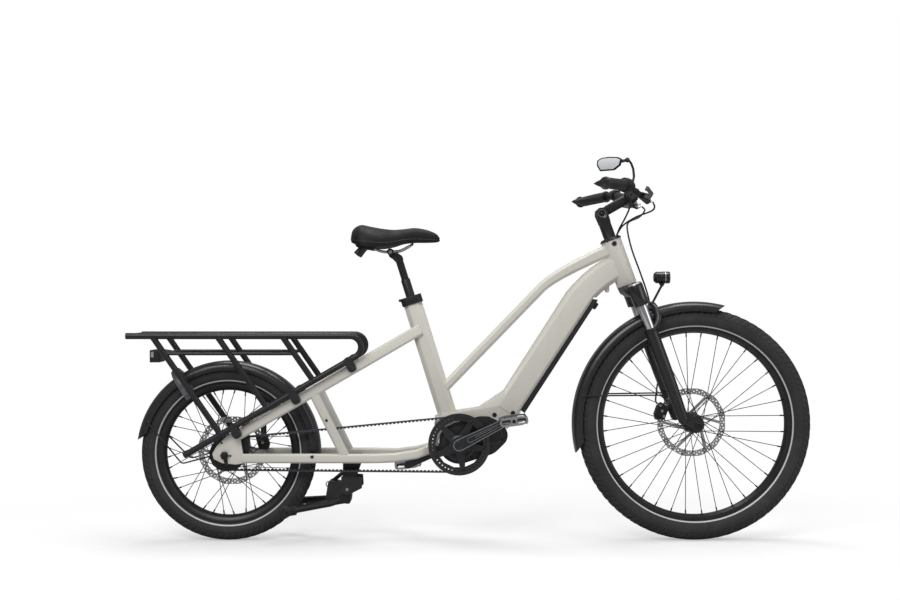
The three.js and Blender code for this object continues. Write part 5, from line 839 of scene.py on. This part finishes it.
def mudguard(node, centre, radius, width, first, last, wires):
    """A guard with slanted ends between two angles, its wires and the clips that hold them."""
    body = BODY.get(node, "frame")
    section = guard_section(width / 2)
    slant = math.degrees(END_SLANT / radius) / SKIRT
    verts = []
    for i in range(GUARD_ALONG + 1):
        for u, v in section:
            angle = first - slant * v + (last - first + 2 * slant * v) * i / GUARD_ALONG
            verts.append(around(centre, radius + v, math.radians(angle), u))
    skin = (verts, capped(GUARD_ALONG + 1, len(section)))
    show("skin_" + node, [skin], "guard", body, "black_plastic", node)
    show("wires_" + node, [tube(w, GUARD_WIRE_R, 12) for w in wires], "axle", body, "dark_steel", node)
    clips = []
    for w in wires:
        out = (w[0] - centre).normalized()
        side = math.copysign(1, w[0].y)
        clips.append(outwards(CLIP, w[0] + out * 0.001, side, 16, -1.2))
    show("clips_" + node, clips, "axle", body, "dark_steel", node)


def mudguards():
    front, rear = [], []
    for s, _ in SIDES:
        front.append([around(FRONT, 333.4, math.radians(165.6), s * 34.8),
                      FRONT - FORE * 0.0333 + UP * 0.104 + mm(0, s * 44.1, 0)])
        a = around(REAR, 245.4, math.radians(159), s * 32.8)
        b = around(REAR, 128, math.radians(191.5), s * 62)
        c = REAR + mm(-30, s * 66.8, 0)
        rear.append([a, a.lerp(b, 0.93), a.lerp(b, 0.975), b.lerp(c, 0.06), b.lerp(c, 0.14), c])
    mudguard("front_mudguard", FRONT, 355.7, 72, 75.6, 193.7, front)
    mudguard("rear_mudguard", REAR, 267.7, 68, -3, 172, rear)


mudguards()


# Fork: heights and profiles along each leg
LEG_X, LEG_Y, LEG_FOOT = 11.5, 64, -417
LEG_TOP_TO_FOOT = {-141: 19, -150: 19, -275: 19, -330: 17.6, -390: 16, LEG_FOOT: 15.2}
LEG_END = [(-2, 15.2), (4, 14.6), (9, 12.2), (12.5, 7)]
SEAL = [(0, 16.8), (1.5, 18.8), (6, 19.8), (11, 19.8), (12, 19.1)]
SLEEVE = [(0, 21.6), (2, 22.6), (58, 22.6), (61, 21.2), (62, 15)]
LEG_CAP = [(0, 15), (1.6, 19.6), (3.6, 21.2), (6.6, 21.4)]
DIAL = [(0, 6.2), (2.2, 5.8), (2.4, 3.2)]
# Turned parts of both legs: name, profile, height, direction, sides, material, body, slot and node
LEG_PARTS = [("leg_seals", SEAL, -138, -UP, 36, "hose", "fork_slider", "soft_rubber", "fork_lowers"),
             ("fork_sleeves", SLEEVE, -6, -UP, 40, "gloss", "steering", "black_metal"),
             ("fork_caps", LEG_CAP, -0.5, -UP, 40, "silver", "steering", "steel"),
             ("fork_dials", DIAL, -0.6, UP, 6, "dark", "steering", "alloy_dark")]
AXLE_END = [(0, 8.5), (1.2, 9.2), (3, 9.2), (4.2, 8), (4.2, 5.2), (2.2, 4.5)]
AXLE_FORE, AXLE_DOWN = 44.8, -447
LAMP_FORE, LAMP_DOWN = 95.3, -36.3
ROD_EYE = [(0, 3.8), (0.5, 4.2), (4.5, 4.2), (5, 3.8)]


def leg(s, z):
    return steer(LEG_X, LEG_Y * s, z)


def fork():
    legs, bosses, ends, rods = [], [], [], []
    boss = [FORE * x + UP * z for x, z in hull([(AXLE_FORE, AXLE_DOWN, 16), (LEG_X, -402, 15.2)])]
    for s, _ in SIDES:
        legs.append(tube([leg(s, z) for z in LEG_TOP_TO_FOOT], list(LEG_TOP_TO_FOOT.values()), 36))
        legs.append(turned(LEG_END, leg(s, LEG_FOOT), -UP, 36))
        bosses.append(slab(HEAD, [[(p.x, p.z) for p in boss]], s * 55.2, s * 72.8))
        ends.append(outwards(AXLE_END, steer(AXLE_FORE, 0, AXLE_DOWN), s, 32, 72.6))
        rods.append(rod(steer(48, 6.5 * s, -79), steer(LAMP_FORE, 6.5 * s, LAMP_DOWN), 2.5, 14))
        rods.append(outwards(ROD_EYE, steer(LAMP_FORE, 6.5 * s, LAMP_DOWN), 1, 24, -2.5))
    rods.append(pin(steer(LAMP_FORE, 0, LAMP_DOWN), 1, -8, 8, 2, 12))
    black = ("fork_slider", "black_metal", "fork_lowers")
    steel = ("fork_slider", "dark_steel", "fork_lowers")
    show("lower_legs", legs, "fork", *black)
    show("leg_bosses", bosses, "fork", *black, round_by=2.5, segments=3)
    brace = mirrored([steer(20, 64, -150), steer(46, 58, -118), steer(48, 36, -86), steer(48, 0, -79)], 60)
    show("fork_brace", [tube(brace, 9, 24)], "fork", *black)
    show("front_axle", [pin(steer(AXLE_FORE, 0, AXLE_DOWN), 1, -74, 74, 6, 24)], "axle", *steel)
    show("axle_ends", ends, "axle", *steel)
    show("lamp_rods", rods, "axle", *steel)
    for name, profile, z, way, sides, *look in LEG_PARTS:
        show(name, [turned(profile, leg(s, z), way, sides) for s, _ in SIDES], *look)


fork()


# Headlight: profiles are turned forwards from the back of the shell
LAMP_R, LAMP_RIBS, RIB_PITCH = 17.5, 3, 5.2


def headlight():
    r = LAMP_R
    back = LAMP_PIVOT + mm(-24, 0, 22.5)
    shell = [(0, 9.5), (0.8, 11.8), (3, 14.2), (4.5, 14.8)]
    for d in (6 + RIB_PITCH * k for k in range(LAMP_RIBS)):
        shell += [(d, r - 1.6), (d + 0.6, r - 0.3), (d + 3.4, r - 0.3), (d + 4, r - 1.6)]
    shell += [(23, r - 1.2), (23.6, r), (30.5, r), (31.1, r - 1.4)]
    ring = [(0, r - 1.2), (0.4, r - 0.1), (3.4, r - 0.1), (3.8, r - 1.2)]
    bezel = [(0, r - 1.2), (0.8, r), (9.5, r), (11.3, r - 0.9), (11.3, r - 2.8), (7.2, r - 4.6), (7.2, 1)]
    for name, profile, start, mat, slot_name in (("lamp_shell", shell, 0, "gloss", "black_plastic"),
                                                 ("lamp_ring", ring, 31.2, "silver", "silver_plastic"),
                                                 ("lamp_bezel", bezel, 35.1, "gloss", "black_plastic")):
        show(name, [turned(profile, back + mm(start, 0, 0), (1, 0, 0))], mat, "lamp", slot_name, "headlight")
    fin = hull([(0, 0, 4.2), (0, 7.2, 8.5)], 32)
    show("lamp_fin", [slab(LAMP_PIVOT, [fin], -3.4, 3.4)], "plastic", "lamp", "black_plastic", "headlight",
         round_by=0.8)


headlight()


# Crank drive
CRANK_ANGLE = math.radians(26.5)
CRANK_LENGTH = 170
# Circles on the arm and on the pocket in its face: place along the arm, and radius
ARM = ((0, 17.8), (20, 17.2), (CRANK_LENGTH, 10.8))
POCKET = ((34, 6.2), (136, 3.2))
CRANK_CAP = [(0, 13.2), (0.8, 13.8), (1.8, 13.8), (2.2, 12.8), (1.2, 9.8), (1.2, 8.6), (2, 7.8), (2, 4),
             (0.4, 3.8)]
SPIDER_HUB = [(0, 27), (0.6, 27.6), (9, 27.6), (10.5, 26), (11.8, 20.5)]
SPIDER_BOLT = [(0, 4.8), (0.6, 5.2), (1.4, 5.2), (1.8, 4.6), (1.8, 2.4), (0.8, 2.2)]
SPIDER_ARM = ((20, 13.5), (71.5, 6.8))
RING_TEETH = 46
# A window in the guard: radius, and angle from its middle
WINDOW = ((74.5, -0.022), (78.5, -0.022), (78.5, 0.022), (74.5, 0.022))


def on_arm(s, along):
    """A place on the crank arm of one side, as x and z from the bottom bracket."""
    return polar(-s * along, CRANK_ANGLE)


def along_arm(s, circles, grow, steps):
    return hull([(*on_arm(s, along), r + grow) for along, r in circles], steps)


def crank_pair():
    arms, faces, rims, ribs, caps, axles = [], [], [], [], [], []
    for s, _ in SIDES:
        arms.append(slab(BRACKET, [along_arm(s, ARM, 0, 48)], s * 68, s * 77.6))
        face = [along_arm(s, ARM, -1.2, 48), along_arm(s, POCKET, 0, 24)]
        faces.append(slab(BRACKET, face, s * 77.6, s * 80.8))
        # Painted highlight: thin silver bands round each arm's edge and round the lip of its pocket stand for
        # the bright highlights along those edges.
        edge = [along_arm(s, ARM, grow, 48) for grow in (-1.2, -2.9)]
        pocket_lip_highlight = [along_arm(s, POCKET, grow, 24) for grow in (1, 0)]
        rims += [slab(BRACKET, edge, s * 80, s * 81.4), slab(BRACKET, pocket_lip_highlight, s * 80, s * 81.2)]
        a, b = [BRACKET + mm(x, s * 76.8, z) for x, z in (on_arm(s, 52), on_arm(s, 126))]
        ribs.append(rod(a, b, 1.3, 12))
        caps.append(outwards(CRANK_CAP, BRACKET, s, 40, 80.6))
        axles.append(pin(around(BRACKET, -s * CRANK_LENGTH, CRANK_ANGLE), s, 70, 152, 6, 20))
    axles.append(pin(BRACKET, 1, -72, 72, 9.8, 32))
    look = ("crankset", "alloy_dark", "cranks")
    show("crank_arms", arms, "dark", *look, round_by=2.6, segments=3)
    show("crank_faces", faces, "dark", *look, round_by=0.9)
    show("crank_rims_painted_highlight", rims, "silver", *look)
    show("crank_ribs", ribs, "arm", *look)
    show("crank_caps", caps, "dark", *look)
    show("crank_axles", axles, "axle", "crankset", "dark_steel", "cranks")


def ring_with_spider():
    """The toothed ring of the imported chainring, with a round guard and a shaped spider in front of it."""
    obj = PIECES["chainring"]
    bm = bmesh.new()
    bm.from_mesh(obj.data)
    cut = bmesh.ops.bisect_plane(bm, geom=bm.verts[:] + bm.edges[:] + bm.faces[:], plane_co=(0, -0.0561, 0),
                                 plane_no=(0, -1, 0), clear_outer=True)
    bmesh.ops.holes_fill(bm, edges=[e for e in cut["geom_cut"] if isinstance(e, bmesh.types.BMEdge)], sides=0)
    bm.to_mesh(obj.data)
    bm.free()
    lines = [circle(0, 0, 89, 180), circle(0, 0, 69.2, 120)]
    for i in range(RING_TEETH):
        a = 2 * PI * (i + 0.5) / RING_TEETH
        lines.append([polar(r, a + b) for r, b in WINDOW])
    show("chain_guard", [slab(BRACKET, lines, -59.6, -56.6)], "gloss", "crankset", "black_metal", "chainring",
         round_by=0.4)
    angles = [CRANK_ANGLE + PI / 5 + 2 * PI * i / 5 for i in range(5)]
    arms = [slab(BRACKET, [hull([(*polar(out, a), r) for out, r in SPIDER_ARM], 40)], -56, -63.4)
            for a in angles]
    look = ("crankset", "alloy_dark", "chainring")
    show("spider_arms", arms, "dark", *look, round_by=1.6, segments=3)
    show("spider_hub", [outwards(SPIDER_HUB, BRACKET, -1, 56, 56)], "dark", *look)
    bolts = [outwards(SPIDER_BOLT, around(BRACKET, 71.8, a), -1, 24, 63.2) for a in angles]
    show("spider_bolts", bolts, "axle", "crankset", "dark_steel", "chainring")


# A pedal: outlines lean with the pedal, and y runs outwards from the bicycle's middle
PEDAL_LEAN = math.radians(8)
PEDAL_PLATE = [(-29.5, 0, 10.4), (-20, 0, 12.6), (20, 0, 12.6), (29.5, 0, 10.4)]
PEDAL_BAR = [(32.2, -9.8), (39.2, -7.8), (39.8, 0), (39.2, 7.8), (32.2, 9.8), (34.6, 0)]
PEDAL_RIB = [(-34.5, -2.2), (34.5, -2.2), (34.5, 2.2), (-34.5, 2.2)]
PEDAL_BARREL = [(0, 10.8), (1, 11.4), (76, 9.8), (77, 8.6)]


def pedal(s, name):
    node = "pedal_" + name
    centre = around(BRACKET, -s * CRANK_LENGTH, CRANK_ANGLE)
    c, w = math.cos(PEDAL_LEAN), math.sin(PEDAL_LEAN)

    def leaned(line):
        return [(x * c - z * w, x * w + z * c) for x, z in line]

    windows = [leaned(hull([(sx * 15.2, 0.2, 7), (sx * 28.6, 0.2, 6.2)], 20)) for sx in (-1, 1)]
    cage = [leaned(hull(PEDAL_PLATE, 24))] + windows
    hole = leaned(circle(0, 0, 5.2, 24))
    plates = [slab(centre, cage, s * 81.8, s * 87.6), slab(centre, cage + [hole], s * 159.8, s * 165.4)]
    bars, pins = [], []
    for sx in (-1, 1):
        bars.append(slab(centre, [leaned([(sx * x, z) for x, z in PEDAL_BAR][::sx])], s * 83.6, s * 163.6))
        for y in (90.5 + 16.5 * k for k in range(5)):
            for sz in (-1, 1):
                stud = leaned([(sx * 35.2, sz * 7.8), (sx * 35.2, sz * 12.2)])
                pins.append(rod(*[centre + mm(x, s * y, z) for x, z in stud], 1.8, 10))
    for y in (106.5, 137.5):
        bars.append(slab(centre, [leaned(PEDAL_RIB)], s * (y - 2.8), s * (y + 2.8)))
    look = (BODY[node], "alloy_dark", node)
    show("plates_" + node, plates, "silver", *look, round_by=0.8)
    show("bars_" + node, bars, "dark", *look, round_by=0.8)
    show("barrel_" + node, [outwards(PEDAL_BARREL, centre, s, 32, 85)], "axle", *look)
    show("pins_" + node, pins, "steel", *look)


MOTOR_SIDE = 38.8
MOTOR_CIRCLES = ((0, 0, 58.4), (72, 21, 56.4), (106, 24, 34.6))
MOTOR_SCREWS = ((52, 66), (104, 46.5), (124, 12), (78, -24), (36, -39))
MOTOR_SCREW = [(0, 3.8), (0.6, 4.2), (1.8, 4.2), (2.2, 3.6), (2.2, 2), (1, 1.8)]
MOTOR_BOSS = [(0, 20.5), (3, 20.5), (4.2, 19.2)]


def motor():
    look = ("frame", "alloy_dark", "motor")
    body, cover = [[hull([(x, z, r - less) for x, z, r in MOTOR_CIRCLES], 72)] for less in (0, 6.5)]
    show("motor_body", [slab(BRACKET, body, -35.8, 35.8)], "motor", *look, round_by=4, segments=4)
    covers, rims, bolts = [], [], []
    for s, _ in SIDES:
        covers.append(slab(BRACKET, cover, s * 35, s * 39))
        for x, z, outer, inner, n in ((100, 24, 26, 22.5, 64), (0, 0, 47, 43.5, 80)):
            rims.append(slab(BRACKET, [circle(x, z, outer, n), circle(x, z, inner, n)], s * MOTOR_SIDE,
                             s * (MOTOR_SIDE + 1)))
        covers.append(outwards(MOTOR_BOSS, BRACKET, s, 48, MOTOR_SIDE))
        bolts += [outwards(MOTOR_SCREW, BRACKET + mm(x, 0, z), s, 20, MOTOR_SIDE) for x, z in MOTOR_SCREWS]
    show("motor_covers", covers, "plastic", *look, round_by=1.4, segments=3)
    show("motor_rims", rims, "gloss", *look, round_by=0.3)
    show("motor_bolts", bolts, "axle", *look)


crank_pair()
ring_with_spider()
for side, name in SIDES:
    pedal(side, name)
motor()


# Ports, bolt heads and the painted shade of the dropout slots on the frame: node, x and z in metres, and radii
PORTS = [("main_tube", 0.4117, 0.8620, 6.2, 8.8), ("chain_stay_right", -0.4568, 0.2513, 4.2, 6),
         ("chain_stay_left", -0.4568, 0.2513, 4.2, 6), ("chain_stay_right", -0.7155, 0.2905, 2.8, 4),
         ("chain_stay_right", -0.6905, 0.2535, 2.8, 4), ("chain_stay_right", -0.1940, 0.2885, 3, 4.6)]
HEADS = [("main_tube", 0.0649, 0.3665, 6.6), ("main_tube", 0.1183, 0.3722, 6.6),
         ("seat_stay_right", -0.4160, 0.3550, 4), ("seat_stay_left", -0.4160, 0.3550, 4)]


def outer_faces(node, x, z):
    """Each outer side of a piece at x and z: the side's sign and the place on it."""
    for s, name in SIDES:
        if node.endswith(("right", "left")) and not node.endswith(name):
            continue
        hit, place, *_ = PIECES[node].ray_cast(V((x, s, z)), V((0, -s, 0)))
        if hit:
            yield s, V((x, place.y, z))


def frame_details():
    ports_and_slot_shade, rings, bolts = [], [], []
    for node, x, z, small, large in PORTS:
        for s, p in outer_faces(node, x, z):
            ports_and_slot_shade.append(outwards([(-1, small), (0.6, small), (0.8, small * 0.6)], p, s, 28))
            rings.append(outwards([(-1, large), (0.2, large), (0.5, large * 0.92), (0.5, small)], p, s, 32))
    for node, x, z, r in HEADS:
        head = [(-1, r), (1.2, r), (2.2, r * 0.85), (2.2, r * 0.5), (0.8, r * 0.45)]
        bolts += [outwards(head, p, s, 28) for s, p in outer_faces(node, x, z)]
    # Painted shade: a thin dark sheet in the shape of each dropout's slot stands for the shade inside the
    # slot.
    slot = hull([(0, 0, 6.6), (5, -25.5, 4.6)], 32)
    for _, name in SIDES:
        for s, p in outer_faces("chain_stay_" + name, REAR.x + 0.005, REAR.z - 0.0225):
            ports_and_slot_shade.append(slab(REAR, [slot], p.y * 1000 - s, p.y * 1000 + s * 0.6))
    show("frame_ports_and_slot_shade", ports_and_slot_shade, "hose", "frame", "black_plastic")
    show("frame_rings", rings, "silver", "frame", "steel")
    show("frame_bolts", bolts, "axle", "frame", "dark_steel")


frame_details()


# Stem, grips and levers
PIVOT_DISC = [(0, 15.8), (0.6, 16.6), (1.8, 16.6), (2.4, 15.6), (1.2, 13.8), (1.2, 11.2), (2.2, 10.4),
              (2.6, 9.2), (2.6, 6.2), (0.8, 5.6)]
# PIVOT_RING is the profile of the pale ring that paints the pivot disc's highlight.
PIVOT_RING = [(1, 8.6), (2.8, 9.2), (3.4, 10), (3.4, 11.2), (2.8, 11.8), (1, 12.2)]
PIVOT_BOLT = [(0, 4.6), (2, 4.6), (2.4, 4)]
STEM_BOLT = [(0, 3.2), (1.8, 3.2), (2.2, 2.6)]
GRIP_CAP = [(0.5, 17), (2.2, 17.6), (4.6, 17), (5.6, 14.4), (4.6, 12.8), (4.6, 11.2), (5.8, 10.4), (6.2, 8.8),
            (5.4, 6.6), (5.4, 2)]
GRIP_RING = [(0, 16.8), (0.8, 17.4), (4.2, 17.4), (5, 16.8)]
LEVER_BOLT = [(0, 4.2), (0.8, 5), (10, 5), (10.8, 4.2)]
HOSE_BOLT = [(0, 3), (1, 4), (17, 4), (18, 3)]


def stem_details(s, name):
    p = STEM_PIVOT + mm(0, s * 17.8, 0)
    show("pivot_disc_" + name, [outwards(PIVOT_DISC, p, s)], "gloss", "steering", "black_metal")
    # Painted highlight: a pale grey ring on each black pivot disc stands for the ring highlight on the disc.
    show("pivot_ring_painted_highlight_" + name, [outwards(PIVOT_RING, p, s)], "arm", "steering", "black_metal")
    show("pivot_bolt_" + name, [outwards(PIVOT_BOLT, p, s, 6)], "dark", "steering", "steel")
    ray = (BAR - STEM_PIVOT).normalized()
    a, b = ray * 31, (BAR - STEM_PIVOT) * 1000 - ray * 26
    rim = [hull([(a.x, a.z, r), (b.x, b.z, r - 1)], 32) for r in (8.5, 6.6)]
    show("stem_rim_" + name, [slab(STEM_PIVOT, rim, s * 17.6, s * 19)], "gloss", "bars", "black_metal",
         round_by=0.4)
    bolts = [turned(STEM_BOLT, BAR + mm(12 * k, s * 14, -20.5), (0, 0, -1), 20) for k in (-1, 1)]
    show("stem_bolts_" + name, bolts, "axle", "bars", "dark_steel")


def bar_place(s, out):
    """A place on the bar's swept end, at a distance out from the middle."""
    share = (out - 165) / 155
    return BAR + mm(-27 - 82.3 * share, s * out, 19 - 7.8 * share)


def grip_caps(s, name):
    """Each grip's end is drawn in to make room for a cap."""
    ray = (bar_place(s, 320) - bar_place(s, 200)).normalized()
    grip_end = bar_place(s, 326)
    for v in PIECES["grip_" + name].data.vertices:
        if (v.co - grip_end).dot(ray) > -0.001:
            v.co -= ray * 0.0055
    show("grip_cap_" + name, [turned(GRIP_CAP, grip_end - ray * 0.006, ray)], "dark", "bars", "black_plastic")
    show("grip_ring_" + name, [turned(GRIP_RING, bar_place(s, 197) - ray * 0.001, ray)], "dark", "bars",
         "alloy_dark")


def lever_hardware(s, name):
    """The pale pivot and banjo bolts where each hose leaves its brake cylinder."""
    bolts = [turned(LEVER_BOLT, mm(492.5, s * 96.5, 990.5), (0, s, 0), 28),
             turned(LEVER_BOLT, mm(501, s * 92.5, 980), (0.25, s, -0.2), 28),
             turned(HOSE_BOLT, mm(490.5, s * 96, 977), (0.6, 0, 0.35), 28)]
    show("lever_bolts_" + name, bolts, "silver", "bars", "steel")


# Corners of the mirror's glass, as x, y and z
MIRROR = [(386, 167, 1110), (395, 160, 1093), (431, 129, 1093), (447, 116, 1105), (451, 113, 1122),
          (441, 121, 1127), (418, 140, 1130), (399, 157, 1129), (387, 166, 1123)]
MIRROR_SHARE, MIRROR_LIFT = 0.93, 0.0022


def mirror_pane():
    """The glass, set just proud of its frame."""
    flat = [V(c) / 1000 for c in MIRROR]
    out = (flat[0] - flat[3]).cross(flat[6] - flat[2]).normalized()
    out = out if out.y < 0 else -out
    middle = sum(flat, V((0, 0, 0))) / len(flat)
    flat = [middle + (p - out * (p - middle).dot(out) - middle) * MIRROR_SHARE for p in flat]
    verts = [p + out * d for d in (0.0, MIRROR_LIFT) for p in flat]
    show("mirror_pane", [(verts, capped(2, len(flat)))], "mirror", "mirror", "mirror_face", "mirror_glass",
         round_by=0.6)


for detail in (stem_details, grip_caps, lever_hardware):
    for side, name in SIDES:
        detail(side, name)
mirror_pane()


# Under the saddle
RAIL_HALF = [(402, 30, 859), (431, 24, 844), (457, 22, 838.6), (495, 22, 841), (520, 17, 852), (534, 0, 861)]
RAIL_CUP = [(379, 858, 8), (402, 857, 9), (420, 849, 6)]
CLAMP_BOLT = [(0, 5.2), (2, 5.2), (2.6, 4.4), (2.6, 2.4), (1, 2.2)]
CLAMP_DRUM = [(0, 10), (1.5, 11.8), (42.5, 11.8), (44, 10)]


def saddle_hardware():
    """Rails that dip under the saddle to the post's clamp, with a rubber cushion at each side behind."""
    rails = mirrored([at(*p) for p in RAIL_HALF], 90)
    show("rails", [tube(rails, 3.5)], "silver", "seat", "dark_steel", "saddle_rails")
    cushions, cups, bolts = [], [], []
    for s, _ in SIDES:
        top, foot = at(401, s * 36, 862), at(373, s * 36, 829)
        d = (foot - top).length * 1000
        cushion = [(0, 8.5), (2, 9.8), (d * 0.45, 9.2), (d * 0.55, 9.2), (d - 4, 10.2), (d - 1, 9.8), (d, 8.4)]
        cushions.append(turned(cushion, top, foot - top, 32))
        cups.append(slab(at(0, 0, 0), [hull(RAIL_CUP, 32)], s * 27, s * 45))
        bolts.append(outwards(CLAMP_BOLT, mm(-236.7, 0, 838.2), s, 24, 30.5))
    show("rail_cushions", cushions, "hose", "seat", "soft_rubber", "saddle_rails")
    show("rail_cups", cups, "plastic", "seat", "black_plastic", "saddle_rails", round_by=1.5)
    show("clamp_bolts", bolts, "silver", "seat", "steel")
    show("clamp_drum", [outwards(CLAMP_DRUM, mm(-230, 0, 831), 1, 40, -22)], "axle", "seat", "dark_steel")
    bolt = SEAT_TOP + SEAT_UP * 0.007 + mm(-31, 0, -10)
    show("collar_bolt", [pin(bolt, 1, -17, 17, 4.2, 24)], "axle", "frame", "dark_steel")


saddle_hardware()


# Stand: circles and points are x and z from the stand's pivot
CASTING = [(0, 0, 13.5), (-48, 13.5, 8.5), (-56, -30, 7.5), (2, -36, 7.5)]
CHEEK = [(0, 0, 16.5), (-13.5, 34, 3.5), (37, 30, 4.5), (39, 6, 4)]
CHEEK_INNER, CHEEK_OUTER = 30.2, 39
ROLLER = [(0, 12), (1.6, 16.5), (4, 18), (18, 18), (20.4, 16.5), (22, 12), (22, 8), (20.5, 7.2)]
HOOK = [(-52, 12), (-58, 4), (-63, 10), (-60, 18), (-52, 20)]
WASHER = [(0, 13.5), (1.2, 13.5), (1.8, 12.8), (1.8, 8.5), (0.8, 8)]
SCREW = [(0, 5.2), (2.6, 5.2), (3.4, 4.4), (3.4, 2.2), (1.4, 2)]


def stand_details():
    pivot = STAND_PIVOT
    cheeks, rollers, washers, screws = [], [], [], []
    for s, _ in SIDES:
        rollers.append(outwards(ROLLER, pivot + mm(-171, 0, -54), s, 40, 84.5))
        cheeks.append(slab(pivot, [hull(CHEEK, 32)], s * CHEEK_INNER, s * CHEEK_OUTER))
        washers.append(outwards(WASHER, pivot, s, 40, CHEEK_OUTER))
        screws.append(outwards(SCREW, pivot, s, 6, CHEEK_OUTER))
    show("stand_casting", [slab(pivot, [hull(CASTING, 32)], -29, 29)], "plastic", "stand", "black_metal",
         round_by=2.5, segments=3)
    show("stand_rollers", rollers, "grip", "stand", "soft_rubber")
    hook = spline([pivot + mm(x, -12, z) for x, z in HOOK], 24)
    show("spring_hook", [tube(hook, 1.6, 10)], "steel", "stand", "steel")
    show("stand_cheeks", cheeks, "plastic", "frame", "black_metal", round_by=2, segments=3)
    show("stand_washers", washers, "dark", "frame", "dark_steel")
    show("stand_screws", screws, "silver", "frame", "steel")


stand_details()


# Caliper bolts on the right faces: body, then x and z in metres
CALIPERS = {"front_caliper": ("fork_slider", ((0.5555, 0.3890), (0.5655, 0.3560), (0.5600, 0.3720))),
            "rear_caliper": ("frame", ((-0.616, 0.330), (-0.616, 0.278)))}
CALIPER_BOLT = [(-1, 4.6), (2, 4.6), (2.8, 3.8), (2.8, 2), (1.2, 1.8)]

for node_name, (body_name, spots) in CALIPERS.items():
    bolts = [outwards(CALIPER_BOLT, p, s, 24)
             for x, z in spots for s, p in outer_faces(node_name, x, z) if s < 0]
    if bolts:
        show("bolts_" + node_name, bolts, "silver", body_name, "steel")


# Tail light: a red lens behind and a pale marker on each side
TAIL_LENS = [(-225.6, 525), (-225.6, 549), (-222, 549), (-222, 525)]
TAIL_MARK = [(-221, 533), (-221, 549), (-213, 549), (-213, 533)]
show("tail_lens", [slab(at(0, 0, 0), [TAIL_LENS], -30, 30)], "red_lens", "frame", "clear_lens", round_by=1.2)
for side, name in SIDES:
    mark = slab(at(0, 0, 0), [TAIL_MARK], side * 34.6, side * 35.6)
    show("tail_mark_" + name, [mark], "pale_lens", "frame", "clear_lens", round_by=0.5)


# Studio: the floor looks pale to the camera, gives off less light to the part, and fades to white further out
FLOOR_HALF, FLOOR_LIT, FLOOR_SEEN = 30, (0.42, 0.42, 0.42), ((0.97, 0.97, 0.97), (0.98, 0.98, 0.98))


def floor_material():
    n = Nodes("studio_floor")
    camera_ray = n.add("LightPath").outputs["Is Camera Ray"]
    n.finish(Base_Color=n.mix(camera_ray, FLOOR_LIT, n.mix(n.clouds(0, 1, 1.5), *FLOOR_SEEN)), Roughness=0.9,
             Specular_IOR_Level=0.0)
    white = n.add("Emission", {"Color": (1, 1, 1), "Strength": 1.0})
    length = n.add("VectorMath", {0: n.stretched((1.0, 1.6, 1.0))}, operation="LENGTH")
    seen = n.math("MULTIPLY", camera_ray, n.ramp(length.outputs["Value"], 1.0, 2.0, 0.42, 1))
    both = n.add("MixShader", {0: seen, 1: n.bsdf.outputs[0], 2: white.outputs[0]})
    feed(n.tree, n.out.inputs[0], both.outputs[0])
    return n.mat


corners = [(-FLOOR_HALF, -FLOOR_HALF, 0), (FLOOR_HALF, -FLOOR_HALF, 0), (FLOOR_HALF, FLOOR_HALF, 0),
           (-FLOOR_HALF, FLOOR_HALF, 0)]
floor = new_object("floor", corners, [(0, 1, 2, 3)], floor_material(), False)

# Lamps: place, target, watts, width and height
LAMPS = {
    "key": ((-1.6, -3.6, 3.6), (0, 0, 0.5), 124, 3.0, 2.2),
    "top": ((0.3, 0.4, 4.2), (0, 0, 0.4), 112, 4.2, 1.6),
    "fill": ((3.4, -2.2, 1.8), (0.2, 0, 0.6), 26, 2.4, 2.4),
}
scene = bpy.context.scene
for name, (place, target, power, width, height) in LAMPS.items():
    data = bpy.data.lights.new(name, "AREA")
    data.shape = "RECTANGLE"
    data.size, data.size_y, data.energy = width, height, power
    lamp = bpy.data.objects.new(name, data)
    scene.collection.objects.link(lamp)
    lamp.location = place
    lamp.rotation_euler = (V(target) - V(place)).to_track_quat("-Z", "Y").to_euler()

# The world shows white and lights the part with a dim sky
world = bpy.data.worlds.new("studio")
scene.world = world
world.use_nodes = True
tree = world.node_tree
tree.nodes.clear()
shown = add_node(tree, "Background", {"Color": (1, 1, 1), "Strength": 1.0})
sky = add_node(tree, "Background", {"Color": (0.97, 0.98, 1.0), "Strength": 0.3})
camera_ray = add_node(tree, "LightPath").outputs["Is Camera Ray"]
mixer = add_node(tree, "MixShader", {0: camera_ray, 1: sky.outputs[0], 2: shown.outputs[0]})
add_node(tree, "OutputWorld", {0: mixer.outputs[0]})

# The photograph's camera looks straight across the bicycle
camera_data = bpy.data.cameras.new("camera")
camera_data.lens = 50
camera_data.sensor_width = 36
camera_data.clip_end = 100
camera = bpy.data.objects.new("camera", camera_data)
scene.collection.objects.link(camera)
camera.location = (-0.0636, -3.646, 0.6986)
camera.rotation_euler = (PI / 2, 0, 0)
scene.camera = camera
scene.view_settings.view_transform = "Standard"
